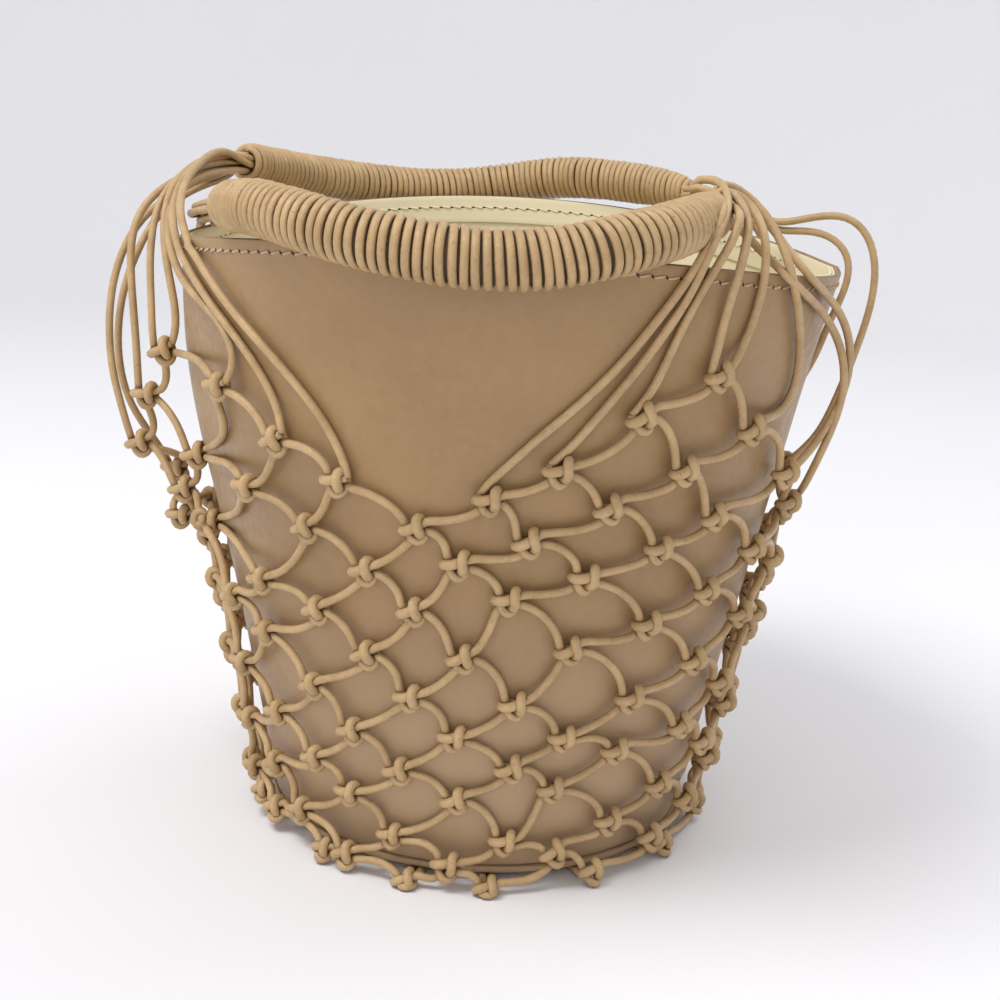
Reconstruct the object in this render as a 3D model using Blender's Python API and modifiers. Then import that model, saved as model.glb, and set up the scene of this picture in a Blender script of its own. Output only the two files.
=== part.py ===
"""Leather bucket bag in a knotted cord net, with two cord-wrapped handles.

The bag stands on the plane z = 0 with its axis on Z and its front towards -Y. Angles round the bag are
measured from the front towards +X, and every length is in metres.
"""

import math
from typing import NamedTuple

import bmesh
import bpy
from mathutils import Vector

# Bucket
MOUTH_RADIUS = 0.134
BASE_RADIUS = 0.086
WALL_HEIGHT = 0.2375
WALL_THICKNESS = 0.002
RIM_SIDE_DIP = 0.0117
LINING_THICKNESS = 0.001
FACING_THICKNESS = 0.001
FACING_HEIGHT = 0.012
SOLE_THICKNESS = 0.0025
SOLE_OVERHANG = 0.001

# Net
CORD_DIAMETER = 0.0031
KNOT_DIAMETER = 0.0060
NET_COLUMNS = 16
PEAK_ROWS = 4
LOWER_ROWS = 6
PEAK_ROW_PITCH = 0.0154
V_HEIGHT = 0.1410
NET_SIDE_DROP = 0.0150
NET_SIDE_STANDOFF = 0.0035
NET_FOOT_SPREAD = 0.0080
NET_FOOT_HEIGHT = 0.0050
NET_TURN = -11.25
HUB_RADIUS = 0.016

# Handles
HANDLE_DIAMETER = 0.0200
HANDLE_END_DIAMETER = 0.0172

# Fits
GAP = 0.0003
RIM_CLEARANCE = 0.0020
WALL_CLEARANCE = 0.0024
SLOT_PITCH = 0.0043
LAYER_PITCH = 0.0048

# Mesh fineness
WALL_SEGMENTS = 40
WALL_RINGS = 4
HANDLE_POINTS = 15
CORD_SIDES_RESOLUTION = 2
HANDLE_SIDES_RESOLUTION = 4
CORD_STEPS = (1, 1, 2, 1, 1, 1, 1, 1)

# Heights that follow
SOLE_BOTTOM = CORD_DIAMETER + GAP
WALL_BOTTOM = SOLE_BOTTOM + SOLE_THICKNESS + GAP
CORD_RADIUS = CORD_DIAMETER / 2
KNOT_RADIUS = KNOT_DIAMETER / 2
HALF_COLUMNS = 2 * NET_COLUMNS
RIM_STACK = WALL_THICKNESS + LINING_THICKNESS + FACING_THICKNESS + 2 * GAP

# Soft dents of the wall: angle, height share, half width in degrees, half height share, depth in walls
WALL_DENTS = (
    (-62, 0.62, 16, 0.20, 1.0),
    (28, 0.35, 18, 0.18, 0.8),
    (96, 0.80, 12, 0.16, 1.2),
    (-150, 0.55, 20, 0.24, 1.0),
)

# Handle routes: angle round the bag, then outward and upward distance from the rim edge, in handle diameters
FRONT_HANDLE_ROUTE = (
    (-46.5, -0.16, 0.56),
    (-40, -0.02, 0.55),
    (-34, 0.15, 0.54),
    (-28, 0.31, 0.45),
    (-22, 0.45, 0.32),
    (-15, 0.55, 0.15),
    (-7, 0.57, 0.00),
    (0, 0.57, -0.08),
    (7, 0.57, -0.06),
    (13, 0.57, 0.09),
    (18.5, 0.50, 0.27),
    (23, 0.35, 0.43),
    (28, 0.08, 0.58),
    (33.5, -0.34, 0.71),
    (39, -0.70, 0.83),
)
BACK_HANDLE_ROUTE = (
    (-117, 0.30, 1.09),
    (-127, 0.34, 0.82),
    (-138, 0.44, 0.53),
    (-147, 0.52, 0.32),
    (-157, 0.57, 0.14),
    (-166, 0.57, 0.12),
    (-173, 0.53, 0.22),
    (-180, 0.42, 0.38),
    (-187, 0.20, 0.53),
    (-194, -0.02, 0.59),
    (-204, -0.09, 0.61),
    (-215, -0.12, 0.63),
)


class Fan(NamedTuple):
    """The eight cords from a handle's end to one peak of the net.

    crossing holds the angles where the first and the last cord pass over the rim. Each row of over is a
    bend before that, as (angle, outward, upward) from the rim edge in handle diameters, for the first
    cord and then for the last. The outermost cords bow out from the wall by bulge, in cord diameters at
    the first and the last cord, and clear the rim by loft, in handle diameters at the last cord.
    """

    name: str
    handle: str
    at_start: bool
    peak: int
    crossing: tuple
    over: tuple
    bulge: tuple
    loft: float


FANS = (
    Fan("front_left", "back_handle", True, -4, (-93, -72),
        (((-108, 0.34, 0.90), (-104, -0.72, 0.92)), ((-98, 0.04, 0.52), (-94, -1.15, 0.76))),
        (9.0, 0.5), 0),
    Fan("back_left", "front_handle", True, -12, (-101, -124),
        (((-62, -0.36, 0.52), (-61, -1.45, 0.52)), ((-84, -0.70, 0.10), (-105, -1.50, 0.32))),
        (1.0, 3.6), 0),
    Fan("front_right", "front_handle", False, 4, (42, 80),
        (((52, -0.96, 1.12), (62, -2.10, 1.12)), ((48, -0.44, 0.84), (76, -1.00, 0.80))),
        (0.6, 2.0), 0),
    Fan("back_right", "back_handle", False, 12, (127, 98),
        (((137, 0.10, 0.62), (122, -1.30, 0.62)), ((131, -0.12, 0.42), (108, -1.20, 0.60))),
        (0.8, 7.0), 0.8),
)
CORDS_IN_FAN = 2 * PEAK_ROWS
OUTER_CORD_POWER = 3.4
FULL_DROOP_TURN = 75
UPPER_DROOP = 1.1
PEAK_PAIR = (PEAK_ROWS - 1, PEAK_ROWS)
KNOT_TOP = KNOT_RADIUS + CORD_RADIUS


def clear_scene():
    for thing in list(bpy.data.objects):
        bpy.data.objects.remove(thing, do_unlink=True)


def make_material(name, colour, roughness):
    material = bpy.data.materials.new(name)
    material.use_nodes = True
    shader = material.node_tree.nodes["Principled BSDF"]
    shader.inputs["Base Color"].default_value = (*colour, 1)
    shader.inputs["Roughness"].default_value = roughness
    material.diffuse_color = (*colour, 1)
    return material


def bell(distance, half_width):
    """A smooth bump: 1 at the middle, near 0 past two half widths."""
    return math.exp(-0.5 * (distance / half_width) ** 2)


def turn_between(angle, other):
    """Signed difference of two angles in degrees, from -180 to 180."""
    return (angle - other + 180) % 360 - 180


def rim_height(angle):
    return WALL_BOTTOM + WALL_HEIGHT - RIM_SIDE_DIP * math.sin(math.radians(angle)) ** 2


def wall_radius(angle, height):
    """Outer radius of the wall, its soft dents included."""
    share = (height - WALL_BOTTOM) / WALL_HEIGHT
    radius = BASE_RADIUS + (MOUTH_RADIUS - BASE_RADIUS) * share
    for dent_angle, dent_share, half_width, half_height, depth in WALL_DENTS:
        across = bell(turn_between(angle, dent_angle), half_width)
        radius -= depth * WALL_THICKNESS * across * bell(share - dent_share, half_height)
    return radius


def around(angle, radius, height):
    turn = math.radians(angle)
    return Vector((radius * math.sin(turn), -radius * math.cos(turn), height))


def from_rim(angle, outward, upward):
    """A point at distances, in metres, outward and upward from the rim's outer edge."""
    height = rim_height(angle)
    return around(angle, wall_radius(angle, height) + outward, height + upward)


def catmull_rom(points, spans):
    """Points on a smooth curve through the given ones; spans is how many steps each stretch takes."""
    smooth = []
    last = len(points) - 1
    for i in range(last):
        p0 = points[max(i - 1, 0)]
        p1 = points[i]
        p2 = points[i + 1]
        p3 = points[min(i + 2, last)]
        for step in range(spans[i]):
            t = step / spans[i]
            smooth.append(0.5 * (
                2 * p1 + (p2 - p0) * t
                + (2 * p0 - 5 * p1 + 4 * p2 - p3) * t ** 2
                + (3 * p1 - p0 - 3 * p2 + p3) * t ** 3))
    smooth.append(points[last])
    return smooth


def even_points(points, count):
    """The same line read at an even spacing."""
    lengths = [0.0]
    for a, b in zip(points, points[1:]):
        lengths.append(lengths[-1] + (b - a).length)
    result = []
    k = 0
    for i in range(count):
        target = lengths[-1] * i / (count - 1)
        while k < len(points) - 2 and lengths[k + 1] < target:
            k += 1
        share = (target - lengths[k]) / (lengths[k + 1] - lengths[k])
        result.append(points[k].lerp(points[k + 1], share))
    return result


def add_mesh(name, bm, material, collection):
    bmesh.ops.recalc_face_normals(bm, faces=bm.faces)
    mesh = bpy.data.meshes.new(name)
    bm.to_mesh(mesh)
    bm.free()
    mesh.materials.append(material)
    mesh.shade_smooth()
    thing = bpy.data.objects.new(name, mesh)
    collection.objects.link(thing)
    return thing


def add_tube(name, points, radii, resolution, material, collection):
    curve = bpy.data.curves.new(name, "CURVE")
    curve.dimensions = "3D"
    curve.bevel_depth = 1.0
    curve.bevel_resolution = resolution
    curve.use_fill_caps = True
    curve.twist_mode = "MINIMUM"
    spline = curve.splines.new("POLY")
    spline.points.add(len(points) - 1)
    for point, place, radius in zip(spline.points, points, radii):
        point.co = (*place, 1)
        point.radius = radius
    curve.materials.append(material)
    thing = bpy.data.objects.new(name, curve)
    collection.objects.link(thing)
    return thing


def add_solidify(thing, thickness):
    shell = thing.modifiers.new("Thickness", "SOLIDIFY")
    shell.thickness = thickness
    shell.offset = -1
    shell.use_even_offset = True


def open_cone(inset, bottom, top_share, top_drop, rings):
    """A cone surface along the wall, inset from its outer face, from a height up to near the rim."""
    bm = bmesh.new()
    bmesh.ops.create_cone(bm, cap_ends=False, segments=WALL_SEGMENTS, radius1=1, radius2=1, depth=1)
    upright = [edge for edge in bm.edges if abs(edge.verts[0].co.z - edge.verts[1].co.z) > 0.5]
    bmesh.ops.subdivide_edges(bm, edges=upright, cuts=rings - 1, use_grid_fill=True)
    for vert in bm.verts:
        angle = math.degrees(math.atan2(vert.co.x, -vert.co.y))
        rim = rim_height(angle) - top_drop
        low = bottom if top_share is None else rim - top_share
        height = low + (rim - low) * (vert.co.z + 0.5)
        vert.co = around(angle, wall_radius(angle, height) - inset, height)
    return bm


def make_bucket_wall(material, collection):
    bm = open_cone(0, WALL_BOTTOM, None, 0, WALL_RINGS)
    add_solidify(add_mesh("bucket_wall", bm, material, collection), WALL_THICKNESS)


def make_lining(material, collection):
    inset = WALL_THICKNESS + GAP
    bm = open_cone(inset, WALL_BOTTOM, None, GAP, WALL_RINGS)
    lowest = [edge for edge in bm.edges if edge.is_boundary and max(v.co.z for v in edge.verts) < WALL_HEIGHT / 2]
    bmesh.ops.contextual_create(bm, geom=lowest)
    add_solidify(add_mesh("lining", bm, material, collection), LINING_THICKNESS)


def make_rim_facing(material, collection):
    inset = WALL_THICKNESS + LINING_THICKNESS + 2 * GAP
    bm = open_cone(inset, WALL_BOTTOM, FACING_HEIGHT, 0, 1)
    add_solidify(add_mesh("rim_facing", bm, material, collection), FACING_THICKNESS)


def make_base_panel(material, collection):
    bm = bmesh.new()
    radius = BASE_RADIUS + SOLE_OVERHANG
    bmesh.ops.create_cone(
        bm, cap_ends=True, segments=WALL_SEGMENTS, radius1=radius, radius2=radius, depth=SOLE_THICKNESS)
    bmesh.ops.translate(bm, vec=(0, 0, SOLE_BOTTOM + SOLE_THICKNESS / 2), verts=bm.verts)
    add_mesh("base_panel", bm, material, collection)


def column_angle(column):
    """Angle of a half column of the net."""
    return NET_TURN + column * 360 / HALF_COLUMNS


def net_foot_radius():
    return BASE_RADIUS + NET_FOOT_SPREAD


def row_height(row, angle):
    """Height of a row of knots: the rows above the V bottoms are level steps, those below end on the floor."""
    v_level = WALL_BOTTOM + V_HEIGHT - NET_SIDE_DROP * math.sin(math.radians(angle)) ** 2
    if row <= 0:
        return v_level - row * PEAK_ROW_PITCH
    floor_level = NET_FOOT_HEIGHT
    return floor_level + (v_level - floor_level) * (1 - row / LOWER_ROWS)


def net_radius(angle, height):
    """The net lies on the wall in front, stands off at the sides and spreads at its foot."""
    side = NET_SIDE_STANDOFF * math.sin(math.radians(angle)) ** 2
    on_wall = wall_radius(angle, height) + GAP + KNOT_RADIUS + side
    return max(on_wall, net_foot_radius())


def net_place(row, column):
    angle = column_angle(column)
    height = row_height(row, angle)
    return around(angle, net_radius(angle, height), height)


def net_knots():
    """All (row, column) knots: four peaks above the V bottoms, then full rings."""
    knots = set()
    for peak in range(PEAK_ROWS, HALF_COLUMNS, 2 * PEAK_ROWS):
        for row in range(-PEAK_ROWS, 0):
            reach = row + PEAK_ROWS
            for column in range(peak - reach, peak + reach + 1, 2):
                knots.add((row, column % HALF_COLUMNS))
    for row in range(LOWER_ROWS + 1):
        for column in range(row % 2, HALF_COLUMNS, 2):
            knots.add((row, column))
    return sorted(knots)


def make_net(material, collection):
    """Diamond faces with a point at each knot and each cord's middle, turned to strands by Wireframe."""
    bm = bmesh.new()
    weights = bm.verts.layers.deform.verify()
    knots = net_knots()
    verts = {}
    for row, column in knots:
        verts[(row, column)] = bm.verts.new(net_place(row, column))
        verts[(row, column)][weights][0] = 1.0

    def middle(row, column, side):
        key = (row, column, side)
        if key not in verts:
            angle = column_angle(column + side / 2)
            height = (row_height(row, column_angle(column)) + row_height(row + 1, column_angle(column + side))) / 2
            verts[key] = bm.verts.new(around(angle, net_radius(angle, height), height))
            verts[key][weights][0] = 0.0
        return verts[key]

    for row, column in knots:
        left = (row + 1, (column - 1) % HALF_COLUMNS)
        right = (row + 1, (column + 1) % HALF_COLUMNS)
        bottom = (row + 2, column)
        if left in verts and right in verts and bottom in verts:
            bm.faces.new((
                verts[(row, column)], middle(row, column, -1), verts[left], middle(*left, 1),
                verts[bottom], middle(*right, -1), verts[right], middle(row, column, 1)))
    thing = add_mesh("net", bm, material, collection)
    thing.vertex_groups.new(name="knots")
    strands = thing.modifiers.new("Strands", "WIREFRAME")
    strands.thickness = KNOT_DIAMETER
    strands.use_replace = True
    strands.use_boundary = True
    strands.use_even_offset = True
    strands.offset = 0
    strands.vertex_group = "knots"
    strands.thickness_vertex_group = CORD_DIAMETER / KNOT_DIAMETER


def make_net_base(material, collection):
    """The cords' crossing under the sole: a hub with one flat arm of two cords to each lowest knot."""
    curve = bpy.data.curves.new("net_base", "CURVE")
    curve.dimensions = "2D"
    curve.fill_mode = "BOTH"
    curve.extrude = CORD_RADIUS
    tip = net_foot_radius() - KNOT_RADIUS - 2 * GAP
    half_arm = CORD_DIAMETER
    outline = []
    for column in range(LOWER_ROWS % 2, HALF_COLUMNS, 2):
        along = around(column_angle(column), 1, 0)
        across = Vector((-along.y, along.x, 0))
        for reach, side in ((HUB_RADIUS, -1), (tip, -1), (tip, 1), (HUB_RADIUS, 1)):
            outline.append(along * reach + across * half_arm * side)
    spline = curve.splines.new("POLY")
    spline.points.add(len(outline) - 1)
    for point, place in zip(spline.points, outline):
        point.co = (place.x, place.y, 0, 1)
    spline.use_cyclic_u = True
    curve.materials.append(material)
    thing = bpy.data.objects.new("net_base", curve)
    thing.location.z = CORD_RADIUS
    collection.objects.link(thing)


def handle_line(route):
    """The handle's middle line, evenly spaced, from the rows of its route."""
    points = [
        from_rim(angle, outward * HANDLE_DIAMETER, upward * HANDLE_DIAMETER)
        for angle, outward, upward in route]
    return even_points(catmull_rom(points, [6] * (len(points) - 1)), HANDLE_POINTS)


def make_handle(name, line, material, collection):
    middle = (HANDLE_POINTS - 1) / 2
    radii = []
    for i in range(HANDLE_POINTS):
        off = abs(i - middle) / middle
        radii.append((HANDLE_DIAMETER + (HANDLE_END_DIAMETER - HANDLE_DIAMETER) * off ** 3) / 2)
    add_tube(name, line, radii, HANDLE_SIDES_RESOLUTION, material, collection)


def fan_targets(fan):
    """Knots of a fan's cords, in the order of the cords: down one side of the peak, the peak twice."""
    rise = [(row, fan.peak - PEAK_ROWS - row) for row in range(-1, -PEAK_ROWS - 1, -1)]
    fall = [(row, fan.peak + PEAK_ROWS + row) for row in range(-PEAK_ROWS, 0)]
    forward = fan.crossing[0] < fan.crossing[1]
    return rise + fall if forward else (rise + fall)[::-1]


def fan_bows(fan, share):
    """How far a cord bows out, in cord diameters: the outermost cords bow most."""
    first, last = fan.bulge
    near, far = (first, share) if first < last else (last, 1 - share)
    return near + (max(fan.bulge) - near) * far ** OUTER_CORD_POWER


def fan_slot(fan, number, along):
    """Sideways place of a cord in the handle's end: four columns of two, outermost column first."""
    up = (Vector((0, 0, 1)) - along * along.z).normalized()
    across = along.cross(up).normalized()
    if across.dot(around(fan.crossing[0], 1, 0)) < 0:
        across = -across
    return across * (1.5 - number // 2) * SLOT_PITCH, up * (number % 2 - 0.5) * SLOT_PITCH


def crossing_angle(fan, number):
    first, last = fan.crossing
    return first + (last - first) * number / (CORDS_IN_FAN - 1)


def cord_points(fan, number, handle):
    """Points of one cord, from its place in the handle's end face, over the rim, to its knot."""
    end, before = (handle[0], handle[1]) if fan.at_start else (handle[-1], handle[-2])
    along = (end - before).normalized()
    across, stagger = fan_slot(fan, number, along)
    share = number / (CORDS_IN_FAN - 1)
    points = [end + across + stagger + along * reach for reach in (GAP, HANDLE_DIAMETER * 0.4)]
    for first, last in fan.over:
        angle, outward, upward = (a + (b - a) * share for a, b in zip(first, last))
        points.append(from_rim(angle, outward * HANDLE_DIAMETER, upward * HANDLE_DIAMETER) + stagger)

    crossing = crossing_angle(fan, number)
    layer = number % 2 * LAYER_PITCH
    clear = CORD_RADIUS + RIM_CLEARANCE + layer
    low = CORD_RADIUS / 2
    loft = fan.loft * HANDLE_DIAMETER * share ** OUTER_CORD_POWER
    points.append(from_rim(crossing, -low + loft * 0.3, clear + loft))
    points.append(from_rim(crossing, clear + loft * 0.85, -low + loft * 0.45))

    row, column = fan_targets(fan)[number]
    knot_angle = column_angle(column)
    level = row_height(row, knot_angle)
    knot = around(knot_angle, net_radius(knot_angle, level), level)
    turn = turn_between(knot_angle, crossing)
    peak_turns = [abs(turn_between(knot_angle, crossing_angle(fan, k))) for k in PEAK_PAIR]
    upper = row == -PEAK_ROWS and abs(turn) == min(peak_turns)
    droop = (1 + abs(turn) / FULL_DROOP_TURN) * (UPPER_DROOP if upper else 1)
    start = points[-1].z
    stop = level + KNOT_TOP
    out = fan_bows(fan, share) * CORD_DIAMETER
    for step in (0.33, 0.67):
        angle = crossing + turn * step
        height = start + (stop - start) * step ** droop
        stand = CORD_RADIUS + WALL_CLEARANCE + layer + out * math.sin(math.pi * step)
        points.append(around(angle, wall_radius(angle, height) + stand, height))
    points.append(knot + end_offset(row, upper, points[-1] - knot))
    return points


def end_offset(row, upper, back):
    """From a knot's middle to the end of its cord: straight up, or one over the other on a peak."""
    rise = Vector((0, 0, KNOT_TOP))
    if row > -PEAK_ROWS:
        return rise
    side = back.cross(rise).cross(back).normalized()
    place = 1 if upper else -1
    return rise * 0.6 + side * CORD_DIAMETER * 0.85 * place + back.normalized() * KNOT_RADIUS


def make_cords(handles, material, collection):
    for fan in FANS:
        for number in range(CORDS_IN_FAN):
            points = cord_points(fan, number, handles[fan.handle])
            smooth = catmull_rom(points, CORD_STEPS)
            radii = [CORD_RADIUS] * len(smooth)
            add_tube(f"{fan.name}_cord_{number + 1}", smooth, radii, CORD_SIDES_RESOLUTION, material, collection)


def main():
    clear_scene()
    collection = bpy.data.collections.new("net_covered_bucket_bag")
    bpy.context.scene.collection.children.link(collection)
    leather = make_material("smooth_tan_leather", (0.43, 0.30, 0.19), 0.45)
    suede = make_material("cream_suede", (0.75, 0.67, 0.45), 0.9)
    cord = make_material("tan_cord", (0.52, 0.37, 0.23), 0.55)
    make_bucket_wall(leather, collection)
    make_base_panel(leather, collection)
    make_lining(suede, collection)
    make_rim_facing(suede, collection)
    make_net(cord, collection)
    make_net_base(cord, collection)
    handles = {
        "front_handle": handle_line(FRONT_HANDLE_ROUTE),
        "back_handle": handle_line(BACK_HANDLE_ROUTE),
    }
    for name, line in handles.items():
        make_handle(name, line, cord, collection)
    make_cords(handles, cord, collection)


if __name__ == "__main__":
    main()
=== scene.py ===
"""Looks of a leather bucket bag in a knotted cord net, with two cord-wrapped handles.

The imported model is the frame: lengths are in metres, the bag stands on z = 0 with its axis on Z and its
front towards -Y. Angles round the bag are in degrees from the front towards +X.
"""

import logging
import math
import random
from collections.abc import Callable
from dataclasses import dataclass, field
from enum import Enum

import bmesh
import bpy
from mathutils import Matrix, Vector


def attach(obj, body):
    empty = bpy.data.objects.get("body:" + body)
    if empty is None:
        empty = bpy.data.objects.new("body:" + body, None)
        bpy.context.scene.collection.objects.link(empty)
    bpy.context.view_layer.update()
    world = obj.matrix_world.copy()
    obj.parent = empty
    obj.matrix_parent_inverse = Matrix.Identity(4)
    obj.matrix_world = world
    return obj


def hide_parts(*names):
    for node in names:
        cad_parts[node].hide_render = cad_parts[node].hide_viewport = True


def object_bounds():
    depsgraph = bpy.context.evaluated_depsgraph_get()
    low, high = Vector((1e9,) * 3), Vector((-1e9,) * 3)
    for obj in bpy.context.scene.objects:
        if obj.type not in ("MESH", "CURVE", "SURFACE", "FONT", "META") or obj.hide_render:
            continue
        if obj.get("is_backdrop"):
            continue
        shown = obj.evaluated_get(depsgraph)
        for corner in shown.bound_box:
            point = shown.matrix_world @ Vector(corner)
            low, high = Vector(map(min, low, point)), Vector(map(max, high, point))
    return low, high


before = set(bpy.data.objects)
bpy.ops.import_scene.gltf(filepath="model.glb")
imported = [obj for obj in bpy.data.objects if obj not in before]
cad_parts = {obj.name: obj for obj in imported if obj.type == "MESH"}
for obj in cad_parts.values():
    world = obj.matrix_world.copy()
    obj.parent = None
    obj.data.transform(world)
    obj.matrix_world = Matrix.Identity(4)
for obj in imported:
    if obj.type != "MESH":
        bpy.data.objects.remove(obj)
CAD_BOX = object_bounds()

LOG = logging.getLogger("bag")
BODY = "root"
# Samples of the painted shade in the cords' creases.
CREASE_SHADE_SAMPLES = 6
TOUCH = 0.0001
UP = Vector((0, 0, 1))


class Side(Enum):
    """Which side a strand enters a knot from."""

    LEFT = -1
    RIGHT = 1


# Plain geometry


def bell(distance: float, half_width: float) -> float:
    """A smooth bump: 1 at the middle, near 0 past two half widths."""
    return math.exp(-0.5 * (distance / half_width) ** 2)


def turn_between(angle: float, other: float) -> float:
    """Signed difference of two angles in degrees, from -180 to 180."""
    return (angle - other + 180) % 360 - 180


def around(angle: float, radius: float, height: float) -> Vector:
    """The point at an angle, radius and height about the bag's axis."""
    turn = math.radians(angle)
    return Vector((radius * math.sin(turn), -radius * math.cos(turn), height))


def angle_of(point: Vector) -> float:
    """Angle of a point round the bag."""
    return math.degrees(math.atan2(point.x, -point.y))


def catmull_rom(points: list[Vector], spans: int) -> list[Vector]:
    """A smooth line through points.

    Args:
        points: The points that the line goes through.
        spans: Steps from each point to the next.

    Returns:
        The points of the line, both ends included.
    """
    smooth = []
    last = len(points) - 1
    for i in range(last):
        p0, p1, p2, p3 = points[max(i - 1, 0)], points[i], points[i + 1], points[min(i + 2, last)]
        for step in range(spans):
            t = step / spans
            cubic = (2 * p0 - 5 * p1 + 4 * p2 - p3) * t ** 2 + (3 * p1 - p0 - 3 * p2 + p3) * t ** 3
            smooth.append(0.5 * (2 * p1 + (p2 - p0) * t + cubic))
    smooth.append(points[last])
    return smooth


def line_length(points: list[Vector]) -> float:
    """Length of a line of points."""
    return sum((b - a).length for a, b in zip(points, points[1:]))


def even_points(points: list[Vector], count: int) -> list[Vector]:
    """The same line read at an even spacing.

    Args:
        points: The line.
        count: How many points to return.

    Returns:
        The evenly spaced points, both ends included.
    """
    lengths = [0.0]
    for a, b in zip(points, points[1:]):
        lengths.append(lengths[-1] + (b - a).length)
    result = []
    k = 0
    for i in range(count):
        target = lengths[-1] * i / (count - 1)
        while k < len(points) - 2 and lengths[k + 1] < target:
            k += 1
        share = (target - lengths[k]) / (lengths[k + 1] - lengths[k])
        result.append(points[k].lerp(points[k + 1], share))
    return result


def smooth_line(points: list[Vector], step: float) -> list[Vector]:
    """A smooth line through unevenly spaced points, without overshoot.

    Args:
        points: The points that the line goes through.
        step: The greatest distance between the points returned.

    Returns:
        The points of the line, both ends included.
    """
    gaps = [max((b - a).length, 1e-6) for a, b in zip(points, points[1:])]
    slopes = [(b - a) / gap for a, b, gap in zip(points, points[1:], gaps)]
    tangents = [slopes[0]]
    for i in range(1, len(points) - 1):
        tangents.append((slopes[i - 1] * gaps[i] + slopes[i] * gaps[i - 1]) / (gaps[i - 1] + gaps[i]))
    tangents.append(slopes[-1])
    smooth = []
    for i, gap in enumerate(gaps):
        smooth.append(points[i])
        count = max(math.ceil(gap / step) - 1, 0)
        smooth += hermite(points[i], tangents[i] * gap, points[i + 1], tangents[i + 1] * gap, count)
    smooth.append(points[-1])
    return smooth


def relaxed(points: list[Vector], passes: int) -> list[Vector]:
    """The same line with its kinks eased, its two points at each end kept."""
    for _ in range(passes):
        eased = [(a + 2 * b + c) / 4 for a, b, c in zip(points[1:], points[2:-1], points[3:])]
        points = points[:2] + eased + points[-1:] if len(points) > 4 else points
    return points


def hermite(start: Vector, leave: Vector, end: Vector, arrive: Vector, count: int) -> list[Vector]:
    """Points strictly between start and end on a cubic with those end tangents."""
    points = []
    for i in range(1, count + 1):
        t = i / (count + 1)
        points.append(
            start * (2 * t ** 3 - 3 * t ** 2 + 1) + leave * (t ** 3 - 2 * t ** 2 + t)
            + end * (3 * t ** 2 - 2 * t ** 3) + arrive * (t ** 3 - t ** 2))
    return points


# Finishes


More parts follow.
